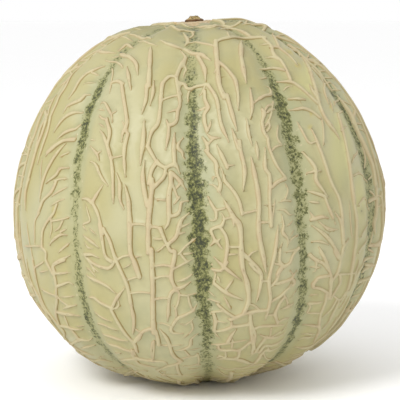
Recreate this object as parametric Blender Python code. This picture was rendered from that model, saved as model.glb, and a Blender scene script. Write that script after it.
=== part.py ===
"""A whole netted cantaloupe with the dry stub of its stem, in metres, +Z up.

The fruit stands on a small flat spot at z = 0, stem end up. Its front is the side that faces -Y.
The rind is a closed surface of revolution with ten ribs pressed into it, and the cork net is
raised from that surface by a formula along the net's cords.
"""

import math
import random

import bmesh
import bpy
import numpy as np
from mathutils import Matrix, Vector
from mathutils.geometry import delaunay_2d_cdt
from mathutils.kdtree import KDTree

# Body of the fruit, measured from the middle of its widest level
WIDEST_RADIUS = 0.0695
TOP_REACH = 0.0733
BOTTOM_REACH = 0.0655
TOP_FULLNESS = 1.95
BOTTOM_FULLNESS = 2.23
HOLLOW_DEPTH = 0.0044
HOLLOW_SPREAD = math.radians(12.5)
STEM_SHIFT = 0.0018
LEAN = math.radians(-2.7)

# Flat spot that the fruit rests on
FLOOR_DEPTH = 0.0644
FLAT_RADIUS = 0.0115
FLAT_SIDES = 28
CENTRE = Vector((0.0001, -0.0002, FLOOR_DEPTH))

# Sutures between the ribs: longitude at the widest level in degrees to the right of the front,
# with how far it slopes and bows on the way to the stem
SUTURES = (
    (-77.0, 0.5, 0.0),
    (-39.0, 1.0, -8.0),
    (0.2, -0.9, 0.9),
    (31.7, -1.8, 8.9),
    (66.5, -0.3, 9.0),
    (99.5, -1.5, 2.0),
    (137.0, 1.0, -2.0),
    (175.5, 2.0, 1.0),
    (213.0, -1.0, 3.0),
    (251.5, 1.0, -2.0),
)
RIB_COUNT = len(SUTURES)
RIB_CROWN = 0.0010
GROOVE_DEPTH = 0.0014
GROOVE_REACH = 0.0038
BAND_HALF = 0.0018
POLE_FADE = 0.020

# Places where the fruit is fuller or flatter: longitude, latitude and spread in degrees, height
SWELLS = (
    (58.0, -38.0, 20.0, -0.0011),
    (-52.0, -50.0, 22.0, 0.0009),
    (-20.0, 72.0, 12.0, -0.0007),
    (-60.0, 15.0, 18.0, -0.0005),
    (150.0, -25.0, 28.0, 0.0008),
    (210.0, 30.0, 26.0, -0.0007),
    (100.0, 75.0, 8.5, 0.0013),
    (-95.0, 25.0, 18.0, -0.0009),
    (-90.0, -45.0, 14.0, 0.0008),
    (92.0, 3.0, 12.0, 0.0013),
    (90.0, -28.0, 8.0, -0.0006),
    (88.0, -50.0, 10.0, 0.0012),
    (0.0, 90.0, 6.5, 0.0016),
    (-105.0, 68.0, 10.0, 0.0009),
    (-90.0, -22.0, 15.0, 0.0012),
    (99.0, 50.0, 10.0, -0.0005),
)

# Seat of the stem stub
SEAT_DEPTH = 0.0011
SEAT_RADIUS = 0.0042
SEAT_EDGE = 0.0054
STUB_GAP = 0.0003

# Net: half widths and heights of its thick, plain and middle cords
THICK = (0.00125, 0.00110)
PLAIN = (0.00105, 0.00095)
MIDDLE = (0.00090, 0.00085)
CORD_STEP = 0.0005
TAPER = 0.004

# View in which the front's cords are read: pixels of a 400 by 400 picture of the front
VIEW_DISTANCE = 0.562
VIEW_RISE = math.radians(7.4)
VIEW_CENTRE = (198.0, 206.4)
PIXEL = 0.00038
FRONT_RIBS = 4
FRONT_FACING = 0.3

# Cords of the front, read by eye as x, y pixels of that view
THICK_CORDS = (
    ((151, 47), (150, 66), (149, 86)),
    ((144.5, 120), (143.5, 140), (140.5, 165)),
    ((144.6, 161), (143, 175), (144.5, 190), (147.5, 205)),
    ((152, 180), (152, 190), (149, 220), (148.5, 252)),
    ((151.7, 250), (153, 283), (153, 300), (154, 332)),
    ((125, 185), (128.7, 200), (130, 224), (130.6, 251), (134.4, 261), (139.5, 276)),
    ((171, 174), (171, 184), (169, 195), (169, 220), (165, 229)),
    ((215.6, 41.7), (216.1, 51), (217.1, 61.1), (217.7, 68.8), (219.2, 85), (224, 97)),
    ((241, 41), (241, 55), (243, 68), (246, 83)),
    ((251, 157), (255, 177), (258.7, 200), (258.7, 232), (264, 261), (266, 273)),
    ((224, 200), (234, 218), (240, 228), (242, 264), (247, 283), (248.5, 300), (244, 312)),
    ((160.5, 40.7), (167.6, 44.3), (177.8, 47.9), (185.5, 49.9), (191, 51)),
    ((185.5, 50.5), (191.5, 54), (200.8, 55), (205.9, 58), (210.5, 60.6)),
    ((47.6, 110), (47, 121), (37, 151), (31, 174), (27, 190), (26, 210)),
    ((302, 55), (319, 106), (339, 139)),
    ((347, 153), (352, 191), (356, 225.5), (352, 264), (347, 289), (340, 302)),
)
PLAIN_CORDS = (
    ((127, 67), (129, 78), (131, 90)),
    ((122, 55), (135, 62), (138, 75)),
    ((122, 84), (127, 120), (123, 134), (122, 142)),
    ((128, 135), (124.5, 150), (125.5, 177)),
    ((147, 86), (146, 100), (142, 114)),
    ((154, 81), (153, 94), (150, 105.5)),
    ((162.5, 84), (159, 120), (152, 132), (148, 146)),
    ((162.5, 84), (169, 77), (174.6, 77)),
    ((166.5, 120), (169, 130), (166, 150)),
    ((148, 147), (157, 162), (165, 168)),
    ((157, 162), (152, 170), (149, 183)),
    ((116.6, 173), (120, 184), (120.4, 200), (124, 209)),
    ((100, 130), (104.5, 137), (111, 158), (113, 177), (113.7, 203)),
    ((107, 120), (110, 133), (108, 145)),
    ((104, 229), (110, 241), (116, 259), (125.5, 280), (129, 292), (134, 319), (133, 334)),
    ((100, 225), (103, 242), (106, 256), (113, 262)),
    ((112, 310), (124, 331), (134, 343), (137, 351)),
    ((132.5, 350), (136, 357), (162.5, 361), (167, 364)),
    ((156, 331), (158, 338), (159, 344)),
    ((160, 329), (167.6, 339.5), (173, 354), (180, 360)),
    ((180.9, 50.9), (185.5, 57.5), (184.5, 61), (183.5, 65)),
    ((182.4, 63.7), (178.9, 70.8), (176.8, 77.4), (177.5, 85), (180, 100)),
    ((174.6, 133), (174, 149), (175, 165)),
    ((166, 168), (172, 165), (176, 165), (180, 174)),
    ((166, 168), (164, 177), (155.5, 186)),
    ((173, 174), (180, 181), (185.5, 190)),
    ((160.6, 229), (166, 242), (171, 251), (175, 253), (171.4, 276.5), (176, 289)),
    ((189, 213), (181, 221), (176.5, 236), (169.5, 243)),
    ((216.1, 42.8), (220.2, 40.2), (228.4, 38.2), (240, 38.7), (252, 38), (264, 38)),
    ((227, 96), (232, 114), (237, 131)),
    ((220.2, 63.7), (226.3, 68.8), (231.4, 74.9), (235.5, 81.5), (238, 96), (238, 110)),
    ((250, 88), (252, 108), (250, 119)),
    ((197.8, 57), (201.8, 63.7), (204.9, 71.3), (205.4, 81.5)),
    ((208, 85.5), (216.6, 99.5), (221, 124), (229, 142)),
    ((232, 129), (235, 138), (238, 148)),
    ((239.5, 142), (241, 153), (244.6, 170), (243, 191)),
    ((246.6, 119), (249, 135), (252, 145)),
    ((256, 142), (257, 150), (258, 159)),
    ((265, 148), (265, 168), (269.5, 176), (269.5, 200), (271, 225.5)),
    ((217, 145), (222, 156), (227, 167)),
    ((278, 225.5), (275, 251), (269, 279), (270, 299.5), (265, 320)),
    ((244.6, 255), (260, 271), (260, 287), (256, 302)),
    ((214, 257), (225.5, 268), (241, 280)),
    ((215, 284), (227, 293), (243, 299.5)),
    ((231, 319), (248.5, 312), (266, 310)),
    ((250, 315), (251, 331), (254, 348)),
    ((276.5, 82), (292, 83), (306, 93), (319, 106)),
    ((338, 115), (343, 134), (347, 153)),
    ((311, 129), (329, 177), (339, 200), (342, 225), (343, 242)),
    ((302, 152), (315, 168), (316, 181), (328, 198)),
    ((312, 225.5), (329, 239.5), (340, 259)),
    ((319, 247), (326, 262.5), (331, 279), (328, 297)),
    ((53, 110), (48, 132), (38, 164)),
    ((65.5, 144), (51.5, 163), (44, 180), (40, 201)),
    ((83, 113), (74, 113), (63, 120), (54.6, 132)),
    ((74, 140), (61, 142.5), (46, 156)),
    ((69, 168), (60, 169), (57, 175), (46, 183)),
    ((183.5, 33.6), (186.5, 37.7), (188, 41.7), (185, 46.3)),
    ((130, 37), (140, 38), (151, 39)),
)
MIDDLE_CORDS = (
    # Round the stem
    ((160, 24.6), (176.8, 24.6), (185.5, 26.4), (191.6, 28.5)),
    ((165, 28.5), (176.8, 29.5), (184.5, 31), (192.6, 32.5)),
    ((195.7, 27.4), (203.9, 27), (213, 26.2), (221.2, 25.4), (230.4, 26.4), (240, 22.4), (248, 20.5)),
    ((221.2, 29.5), (230, 30), (240, 31.5), (252, 37)),
    # Beside the middle suture, left
    ((180, 100), (180, 106), (178, 111), (177, 120), (174, 124), (170, 125.5)),
    ((178, 82.5), (180.5, 84), (179, 89), (180.5, 94)),
    ((181, 83.5), (185, 85), (186, 88), (190, 89.5), (196, 87), (205, 85)),
    ((183, 138), (179, 143), (178, 148), (182, 152), (183, 157), (184.5, 159)),
    ((188, 201), (182, 202), (180.5, 207), (179.5, 212), (176, 215), (172, 216)),
    ((177, 281.5), (185, 279), (190, 276), (191.5, 274.5)),
    ((176, 289), (181, 287.5), (185, 285.5), (190.5, 281.5)),
    ((176, 289), (171, 293), (169, 301), (168.5, 311), (167.5, 321.5)),
    ((193, 310.5), (185, 315), (178, 318), (173.5, 324), (171, 328.5), (173, 332.5), (183, 333.5)),
    ((197.5, 333.5), (191.5, 338.5), (190, 345.5), (183, 349), (176, 350.5)),
    ((177, 364), (178, 370), (181, 375)),
    ((158, 369.5), (167, 366), (176, 364), (181, 361)),
    # Beside the middle suture, right
    ((204.5, 92), (205, 100), (208, 108), (204.5, 114), (204.5, 122), (207, 130.5)),
    ((207, 134), (212, 138), (220.5, 138)),
    ((202.5, 137), (206, 142.5), (208, 149.5)),
    ((206, 151), (211, 157), (216, 163), (217, 173.5), (220.5, 183), (219.5, 190)),
    ((220.5, 167.5), (223, 173.5), (225, 181), (231, 188), (236, 195), (239.5, 202.5), (242, 213.5)),
    ((208, 196.5), (212, 205), (216, 212), (215.5, 219.5), (210.5, 220.5)),
    ((221.5, 213), (224, 219), (221.5, 225.5), (215.5, 227.5), (211, 230.5), (214.5, 239)),
    ((220.5, 227.5), (225.5, 235), (227.5, 244.5), (226.5, 254.5), (225, 263)),
    ((210.5, 245.5), (215.5, 241), (219.5, 245.5), (222, 248.5)),
    ((213, 269.5), (219, 270.5), (222, 269.5), (226.5, 262.5)),
    ((218, 304.5), (225, 311), (233.5, 316.5)),
    ((214, 314.5), (215.5, 320.5), (214.5, 330), (216.5, 331), (226.5, 329), (232.5, 326)),
    ((227.5, 318), (231.5, 321.5), (232.5, 326), (249, 324)),
    ((236, 329), (231.5, 335), (228, 341)),
    ((212, 344.5), (218, 344.5), (219.5, 349), (231, 349.5), (239.5, 349.5), (249.5, 342)),
    ((239.5, 349.5), (238.5, 355.5), (235, 358)),
    ((217, 359), (225.5, 358), (239.5, 359), (249.5, 362.5)),
    # Beside the suture on the left
    ((56.5, 182), (54.5, 187), (51, 193), (44, 200), (41.5, 206), (39, 212.5)),
    ((57, 205), (54.5, 212.5), (50, 218.5), (46, 224.5), (43, 232), (42.5, 247)),
    ((67, 235), (60.5, 235), (52.5, 241), (50, 245)),
    ((70, 255.5), (61.5, 259.5), (54.5, 264), (54.5, 268), (55.5, 272.5)),
    ((42.5, 247.5), (46.5, 252), (46.5, 259.5), (50, 267), (53, 273)),
    ((90.5, 146), (97, 154), (99, 160.5)),
    ((90.5, 161.5), (95.5, 164), (99, 171.5), (103, 179.5), (108, 185.5)),
    ((103, 185.5), (98, 193), (92.5, 202.5)),
    ((82, 199), (87, 199), (92.5, 203), (97, 211), (99.5, 218.5), (101.5, 228), (103, 233)),
    ((83.5, 235), (91, 241), (99, 247.5)),
    ((85, 254.5), (92, 254.5), (99, 258)),
    ((88.5, 259), (96.5, 265), (106.5, 268), (111.5, 266.5), (114.5, 261.5)),
    # Beside the suture on the right
    ((268, 142.5), (269.5, 149.5), (276.5, 165.5), (285, 177.5)),
    ((272, 187), (277.5, 182), (285, 178.5)),
    ((281.5, 214.5), (283.5, 225.5), (282.5, 232.5), (287.5, 238.5), (287.5, 247)),
    ((298, 248.5), (293, 254.5), (289.5, 263), (281, 268), (277.5, 273.5)),
    ((306.5, 173.5), (314, 171.5), (321, 171)),
    ((307.5, 191.5), (315, 193), (324.5, 196.5)),
    ((309, 201.5), (319, 203)),
    ((325, 198), (328.5, 207.5), (333, 218.5), (335.5, 224.5)),
    ((311.5, 219.5), (321, 217), (328.5, 218)),
    ((319, 222), (328, 229), (338, 229.5)),
    ((311.5, 241.5), (320, 241.5), (328.5, 244.5)),
    ((348.5, 238.5), (343, 247), (340.5, 259), (337, 273.5)),
    ((334.5, 212), (340, 221), (341.5, 230.5), (342.5, 242.5)),
    # Upper left
    ((89.5, 59.5), (96.5, 55), (102.5, 52.5), (109.5, 52), (116, 53)),
    ((69, 99), (74.5, 91), (80.5, 80.5), (86.5, 74.5), (91.5, 71.5), (98.5, 68.5), (104.5, 66.5)),
    ((64, 113), (67.5, 107), (72.5, 104), (79.5, 101), (84, 97), (85.5, 95), (90.5, 95)),
    ((57.5, 139.5), (63, 134.5), (70, 130.5), (76, 129), (81, 125)),
    ((48, 152.5), (54.5, 146.5), (61.5, 142), (68.5, 140), (74.5, 139)),
    ((36, 154), (38.5, 139.5), (42.5, 126), (48, 116.5), (49.5, 110.5), (53, 102), (56.5, 94.5)),
    ((51, 117.5), (56.5, 105.5), (60, 97), (66, 87.5), (71, 77.5), (75, 70.5), (83, 64.5)),
    ((59, 81.5), (65, 75.5), (72.5, 68), (76, 64.5)),
    ((112, 83), (118, 81.5), (123, 84)),
    ((101.5, 103), (105, 103), (108.5, 109), (112, 116.5), (112.5, 122.5)),
    ((124, 55), (129, 57), (133.5, 61)),
    ((117, 47.5), (124, 46.5), (128, 45), (133.5, 48.5)),
    # Upper right
    ((260, 35.5), (265, 40.5), (271, 46.5), (272.5, 52.5), (275.5, 57), (280.5, 61), (285, 68), (290, 80)),
    ((274, 31), (274, 37), (278.5, 47.5)),
    ((271, 47.5), (278, 48), (283, 51.5), (290, 57), (297.5, 65.5)),
    ((260, 69.5), (265, 69.5), (273, 68.5), (284, 70.5)),
    ((290, 42), (293.5, 47.5), (297, 53.5), (300, 57.5)),
    ((309.5, 85), (313, 92.5), (319, 101)),
    ((312, 68.5), (315.5, 73), (321.5, 80), (324, 87.5), (325, 95), (328.5, 104)),
    ((288, 99.5), (297, 99), (305.5, 100)),
    ((289, 110.5), (297, 109.5), (303.5, 108.5), (311.5, 111.5), (319, 117.5)),
    ((260, 98.5), (264.5, 96), (270.5, 94.5), (269.5, 88.5), (266, 86.5)),
    ((262.5, 110.5), (264.5, 114), (262, 122.5), (264, 133), (267.5, 138), (268.5, 146.5)),
    # Lower left
    ((27, 260), (29.5, 273), (33, 284), (39.5, 296), (45.5, 308), (54, 319)),
    ((33.5, 260), (35.5, 271), (38, 284), (40.5, 294), (45.5, 306), (52.5, 316.5), (58.5, 324)),
    ((64.5, 260), (58.5, 262.5), (53.5, 266), (54, 271), (56, 281.5), (57, 294), (57.5, 301), (56.5, 308.5),
     (57, 315.5), (59.5, 323)),
    ((57.5, 286), (63.5, 284), (69.5, 282), (73, 284.5)),
    ((63.5, 308.5), (68.5, 306.5), (76.5, 305)),
    ((57, 311.5), (64.5, 313.5), (73, 314.5), (80.5, 316)),
    ((57.5, 325), (66, 326), (73, 328.5), (82.5, 329)),
    ((60, 326), (64.5, 332.5), (68.5, 338.5)),
    ((71.5, 329), (76.5, 334.5), (79, 338.5)),
    ((71.5, 341), (79, 340), (88.5, 340.5), (92, 338)),
    ((81.5, 348), (87.5, 346.5), (95, 344.5)),
    ((73, 342), (80, 349), (86.5, 353), (93.5, 355)),
    ((91, 359), (99.5, 359.5), (112.5, 361.5)),
    ((86.5, 274.5), (93.5, 279), (101, 282.5), (109, 287), (115.5, 293)),
    ((113, 306), (116.5, 298.5), (121, 292.5), (124.5, 288.5)),
    ((89, 297), (94.5, 297.5), (101, 302.5), (112.5, 308)),
    ((103, 333.5), (110.5, 336), (120, 339.5), (128.5, 341)),
    ((106.5, 342), (116.5, 345.5), (124.5, 349), (131, 351)),
    ((119, 358.5), (127.5, 359), (134.5, 358.5), (143, 359.5), (151.5, 359.5)),
    ((136, 360), (139.5, 363.5), (148, 365.5), (158, 367)),
    ((134.5, 342), (139, 338), (142, 332.5), (146.5, 329.5), (151.5, 328.5)),
    # Lower right
    ((250, 263.5), (255, 269.5), (259.5, 273)),
    ((280, 250), (279.5, 261), (282.5, 266), (279, 272), (276.5, 280), (272, 285)),
    ((290, 270.5), (292.5, 274), (292, 278), (286, 281), (276.5, 283.5)),
    ((296.5, 270.5), (293.5, 275), (292.5, 279), (294.5, 282.5), (287.5, 288.5), (280, 296), (272, 300.5)),
    ((284, 297), (280, 302), (276.5, 309), (275, 314), (277.5, 322.5)),
    ((281, 309), (287, 306.5), (293.5, 303)),
    ((250, 313), (258.5, 310.5), (266, 310.5)),
    ((255, 328), (261, 326), (271.5, 325.5), (283.5, 324.5)),
    ((250, 316.5), (251.5, 325), (255, 334), (253.5, 342.5), (252, 352.5)),
    ((259.5, 334.5), (267, 337), (275.5, 337), (283.5, 333)),
    ((256, 351), (259.5, 345), (266, 337)),
    ((283.5, 338), (278, 342.5), (271.5, 345), (264.5, 345.5), (259.5, 351.5)),
    ((255, 362), (260.5, 355), (264.5, 350), (269.5, 350)),
    ((310, 255), (315, 259.5), (322.5, 263), (327, 268), (330.5, 274), (329.5, 282.5), (330.5, 291),
     (328.5, 298)),
    ((342.5, 251.5), (340.5, 258.5), (339, 267), (335.5, 275), (332, 280)),
    ((313, 283.5), (317.5, 278), (323.5, 276.5), (329.5, 275.5)),
    ((313, 283.5), (313, 287), (320, 288.5), (327, 292.5), (329.5, 295.5)),
    ((326, 294.5), (325, 301.5), (322.5, 308), (320, 315), (318.5, 325), (319, 329.5), (316.5, 335.5),
     (313, 343)),
    ((309, 303), (315, 303), (322.5, 301.5)),
    ((303, 324.5), (310, 325), (318.5, 326)),
    ((298, 339.5), (304.5, 337), (313, 336.5)),
    ((294.5, 346.5), (301.5, 347.5), (308, 346.5), (313, 344), (318.5, 339.5), (325, 334), (332, 325),
     (337, 316.5)),
    ((322.5, 316.5), (329.5, 310), (335.5, 300.5)),
    ((322.5, 328), (328.5, 321), (332, 313), (338, 301.5)),
    ((330.5, 298), (334.5, 291), (339.5, 282.5), (339.5, 275.5)),
    ((349, 290), (352.5, 282.5), (355, 273), (358.5, 261)),
    ((335.5, 320), (341.5, 311.5), (345.5, 304.5), (349, 297)),
    ((354.5, 277.5), (361, 267), (369, 255)),
)

# Net of the rest, drawn by rule
SEED = 20
LANE_COUNT = 5
LANE_LOWEST, LANE_HIGHEST = -74, 72
LANE_LONGEST, LANE_SHORTEST = 0.040, 0.018
LANE_BENDS = 5
BRANCH_PITCH = 0.0085
BRANCH_LONGEST = 0.014
RUNG_TRIES = 700
RUNG_LONGEST = 0.011
STEM_CORDS = 17
STEM_CORD_START, STEM_CORD_LONGEST = 0.0085, 0.022
SHORTEST = 0.0045
MEETING = 0.0012
ROOM = 0.0030
WALK_STEP = 0.001

# Mesh of the fruit
CORD_PITCH = 0.0058
FOOT_SHARE = 1.2
CREST_CLEARANCE = 0.0016
FOOT_CLEARANCE = 0.0010
SUTURE_PITCH = 0.0080
SHOULDER = 0.0048
SHOULDER_CLEARANCE = 0.0022
SUTURE_ROWS = ((0.0, FOOT_CLEARANCE), (-SHOULDER, SHOULDER_CLEARANCE), (SHOULDER, SHOULDER_CLEARANCE))
RIM_CLEARANCE = 0.0012
BARE = 0.0001
LONGEST_EDGE = 0.0095
FILL_PITCH = 0.0074
FILL_CLEARANCE = 0.0042
SEAT_RINGS = ((0.0021, 8), (SEAT_RADIUS, 16), (SEAT_EDGE, 20))

# Stem stub: height above the seat's floor and radius at each level
STUB_LEVELS = (
    (0.0000, 0.0034),
    (0.0005, 0.0035),
    (0.0009, 0.0029),
    (0.0013, 0.0022),
    (0.0017, 0.0018),
    (0.0021, 0.0015),
)
STUB_SIDES = 20
STUB_LOBES = 5
STUB_LOBING = 0.06
STUB_CUP = 0.0003

RIND_COLOUR = (0.56, 0.53, 0.24, 1.0)
STUB_COLOUR = (0.30, 0.19, 0.08, 1.0)


def smooth(value):
    """0 to 1 with level ends."""
    t = np.clip(value, 0.0, 1.0)
    return t * t * (3.0 - 2.0 * t)


def suture_longitudes(lat):
    """Longitude of every suture at each latitude, one row for each latitude."""
    up = np.sin(np.asarray(lat, float))[..., None]
    place, slope, bow = np.radians(np.array(SUTURES)).T
    return place + slope * up + bow * up * up


def rib_place(lon, lat):
    """Which rib each point is on, and its share of the way across it."""
    sutures = suture_longitudes(lat)
    first = sutures[..., :1]
    turned = first[..., 0] + np.mod(np.asarray(lon, float) - first[..., 0], 2 * math.pi)
    rib = np.clip((turned[..., None] >= sutures).sum(axis=-1) - 1, 0, RIB_COUNT - 1)
    ends = np.concatenate([sutures, first + 2 * math.pi], axis=-1)
    start = np.take_along_axis(ends, rib[..., None], axis=-1)[..., 0]
    end = np.take_along_axis(ends, rib[..., None] + 1, axis=-1)[..., 0]
    return rib, (turned - start) / (end - start), end - start


def suture_distance(lon, lat):
    """Distance along the rind to the nearest suture."""
    _, share, width = rib_place(lon, lat)
    return np.minimum(share, 1.0 - share) * width * WIDEST_RADIUS * np.cos(lat)


def rind_radius(lon, lat):
    """Distance of the bare rind from the middle of the fruit."""
    lon, lat = np.asarray(lon, float), np.asarray(lat, float)
    level, up = np.abs(np.cos(lat)), np.sin(lat)
    reach = np.where(up > 0, TOP_REACH, BOTTOM_REACH)
    fullness = np.where(up > 0, TOP_FULLNESS, BOTTOM_FULLNESS)
    radius = ((level / WIDEST_RADIUS) ** fullness + (np.abs(up) / reach) ** fullness) ** (-1 / fullness)
    from_stem = math.pi / 2 - lat
    radius = radius - HOLLOW_DEPTH * np.exp(-((from_stem / HOLLOW_SPREAD) ** 2))
    _, share, _ = rib_place(lon, lat)
    plain = np.where(up > 0, 0.0, FLAT_RADIUS)
    fade = smooth((level * WIDEST_RADIUS - plain) / POLE_FADE)
    radius = radius - RIB_CROWN * fade * (2 * share - 1) ** 2
    across = np.maximum(suture_distance(lon, lat) - BAND_HALF, 0.0) / GROOVE_REACH
    radius = radius - GROOVE_DEPTH * fade * np.exp(-across * across)
    for swell_lon, swell_lat, spread, height in SWELLS:
        middle = direction(math.radians(swell_lon), math.radians(swell_lat))
        angle = np.arccos(np.clip(direction(lon, lat) @ middle, -1, 1)) / math.radians(spread)
        radius = radius + height * np.exp(-angle * angle)
    from_seat = from_stem * WIDEST_RADIUS
    return radius - SEAT_DEPTH * smooth((SEAT_EDGE - from_seat) / (SEAT_EDGE - SEAT_RADIUS))


def direction(lon, lat):
    """Unit vectors: longitude 0 is the front and grows to the right."""
    lon, lat = np.asarray(lon, float), np.asarray(lat, float)
    return np.stack([np.cos(lat) * np.sin(lon), -np.cos(lat) * np.cos(lon), np.sin(lat)], axis=-1)


def angles(vectors):
    """Longitude and latitude of vectors."""
    x, y, z = np.moveaxis(np.asarray(vectors, float), -1, 0)
    return np.arctan2(x, -y), np.arctan2(z, np.hypot(x, y))


def placed(lon, lat, height):
    """Points at a height above the rind, leaned, cut flat underneath and stood on z = 0."""
    points = direction(lon, lat) * (rind_radius(lon, lat) + height)[..., None]
    points[..., 0] += STEM_SHIFT * np.clip(np.sin(lat), 0, 1) ** 6
    x, z = points[..., 0].copy(), points[..., 2].copy()
    points[..., 0] = math.cos(LEAN) * x + math.sin(LEAN) * z
    points[..., 2] = -math.sin(LEAN) * x + math.cos(LEAN) * z
    below = points[..., 2] < -FLOOR_DEPTH
    shrink = np.where(below, -FLOOR_DEPTH / np.minimum(points[..., 2], -1e-6), 1.0)
    return points * shrink[..., None] + np.array(CENTRE)


def flat_direction(radius, turn):
    """Longitude and latitude of a point of the flat spot."""
    x, y = radius * math.cos(turn), radius * math.sin(turn)
    unleaned = (
        math.cos(LEAN) * x + math.sin(LEAN) * FLOOR_DEPTH,
        y,
        math.sin(LEAN) * x - math.cos(LEAN) * FLOOR_DEPTH,
    )
    lon, lat = angles(unleaned)
    return float(lon), float(lat)


def read_from_view(cord):
    """Longitudes and latitudes of a cord's pixels, where their lines of sight meet the rind."""
    forward = np.array([0.0, math.cos(VIEW_RISE), -math.sin(VIEW_RISE)])
    upward = np.array([0.0, math.sin(VIEW_RISE), math.cos(VIEW_RISE)])
    eye = -VIEW_DISTANCE * forward
    pixels = np.array(cord, float)
    aim = np.outer((pixels[:, 0] - VIEW_CENTRE[0]) * PIXEL, [1.0, 0.0, 0.0])
    aim = aim + np.outer((VIEW_CENTRE[1] - pixels[:, 1]) * PIXEL, upward)
    sight = aim - eye
    sight = sight / np.linalg.norm(sight, axis=1)[:, None]
    nearest = -sight @ eye
    miss = np.linalg.norm(eye + sight * nearest[:, None], axis=1)
    radius = np.full(len(pixels), WIDEST_RADIUS)
    for _ in range(12):
        back = np.sqrt(np.maximum(radius * radius - miss * miss, 0.0))
        hit = eye + sight * (nearest - back)[:, None]
        upright = hit.copy()
        upright[:, 0] = math.cos(LEAN) * hit[:, 0] - math.sin(LEAN) * hit[:, 2]
        upright[:, 2] = math.sin(LEAN) * hit[:, 0] + math.cos(LEAN) * hit[:, 2]
        shift = STEM_SHIFT * np.clip(upright[:, 2] / radius, 0, 1) ** 6
        lon, lat = angles(upright - np.outer(shift, [1.0, 0.0, 0.0]))
        met = direction(lon, lat) * rind_radius(lon, lat)[:, None]
        radius = np.hypot(np.linalg.norm(met[:, 1:], axis=1), met[:, 0] + shift)
    return list(zip(lon, lat))


def curve_through(corners, step):
    """Unit vectors every step along a smooth curve through corners given as longitude, latitude."""
    knots = [Vector(direction(lon, lat)) for lon, lat in corners]
    knots = [2 * knots[0] - knots[1]] + knots + [2 * knots[-1] - knots[-2]]
    found = []
    for a, b, c, d in zip(knots, knots[1:], knots[2:], knots[3:]):
        count = max(1, round((c - b).length * WIDEST_RADIUS / step))
        for i in range(count):
            t = i / count
            square = (2 * a - 5 * b + 4 * c - d) * t * t
            cube = (3 * b - a - 3 * c + d) * t ** 3
            found.append((2 * b + (c - a) * t + square + cube).normalized())
    found.append(knots[-2].normalized())
    return found


class Net:
    """The cords drawn so far, with a grid that finds what is near a spot."""

    def __init__(self):
        self.cords = []
        self.cells = {}

    def cell(self, spot):
        return tuple(math.floor(c * WIDEST_RADIUS / ROOM) for c in spot)

    def add(self, corners, size, tapers=(True, True)):
        curve = curve_through(corners, CORD_STEP)
        number = len(self.cords)
        self.cords.append((curve, size, tapers))
        for spot in curve:
            self.cells.setdefault(self.cell(spot), []).append((spot, number))

    def near(self, spot, reach, but=()):
        """The nearest spot of another cord within reach, or None."""
        home = self.cell(spot)
        best, found = reach / WIDEST_RADIUS, None
        for dx in (-1, 0, 1):
            for dy in (-1, 0, 1):
                for dz in (-1, 0, 1):
                    for other, number in self.cells.get((home[0] + dx, home[1] + dy, home[2] + dz), ()):
                        gap = (other - spot).length
                        if gap < best and number not in but:
                            best, found = gap, other
        return found

    def has_room(self, corners, but=()):
        """Whether a cord is off the part read by eye, and its middle mostly clear of other cords."""
        if read_by_eye(*corners[len(corners) // 2]):
            return False
        middle = corners[2:-2]
        close = sum(self.near(Vector(direction(*corner)), ROOM, but) is not None for corner in middle)
        return 2 * close < len(middle)


def walk(net, draw, lon, lat, heading, longest, turn=0.0, wander=4.0, but=(), free=0.002):
    """Corners from a start along a heading in degrees from the right, until it meets a cord.

    Returns the corners and whether the walk met a cord. It also ends at a suture's band.
    """
    corners = [(lon, lat)]
    walked = 0.0
    while walked < longest:
        heading += turn + draw.uniform(-wander, wander)
        level = max(math.cos(lat), 0.08)
        lon += WALK_STEP * math.cos(math.radians(heading)) / WIDEST_RADIUS / level
        lat += WALK_STEP * math.sin(math.radians(heading)) / WIDEST_RADIUS
        walked += WALK_STEP
        if abs(lat) > math.radians(84):
            return corners, False
        if walked > free:
            spot = Vector(direction(lon, lat))
            met = net.near(spot, MEETING, but)
            if met is not None:
                corners.append(tuple(float(a) for a in angles(met)))
                return corners, True
            if suture_distance(lon, lat) < BAND_HALF:
                corners.append((lon, lat))
                return corners, True
        corners.append((lon, lat))
    return corners, False


def thinned(corners, every=3):
    """Every few corners and the last, so that the curve through them is smooth."""
    kept = corners[::every]
    if kept[-1] != corners[-1]:
        kept.append(corners[-1])
    return kept if len(kept) > 1 else corners[:1] + corners[-1:]


def read_by_eye(lon, lat):
    """Whether the front's lists hold the cords of this place, which so gets none by rule."""
    facing = math.cos(lat) * math.cos(lon) * math.cos(VIEW_RISE) + math.sin(lat) * math.sin(VIEW_RISE)
    rib, _, _ = rib_place(lon, lat)
    return int(rib) < FRONT_RIBS and facing > FRONT_FACING


def add_front_cords(net):
    for cords, size in ((THICK_CORDS, THICK), (PLAIN_CORDS, PLAIN), (MIDDLE_CORDS, MIDDLE)):
        for cord in cords:
            net.add(read_from_view(cord), size)


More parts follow.
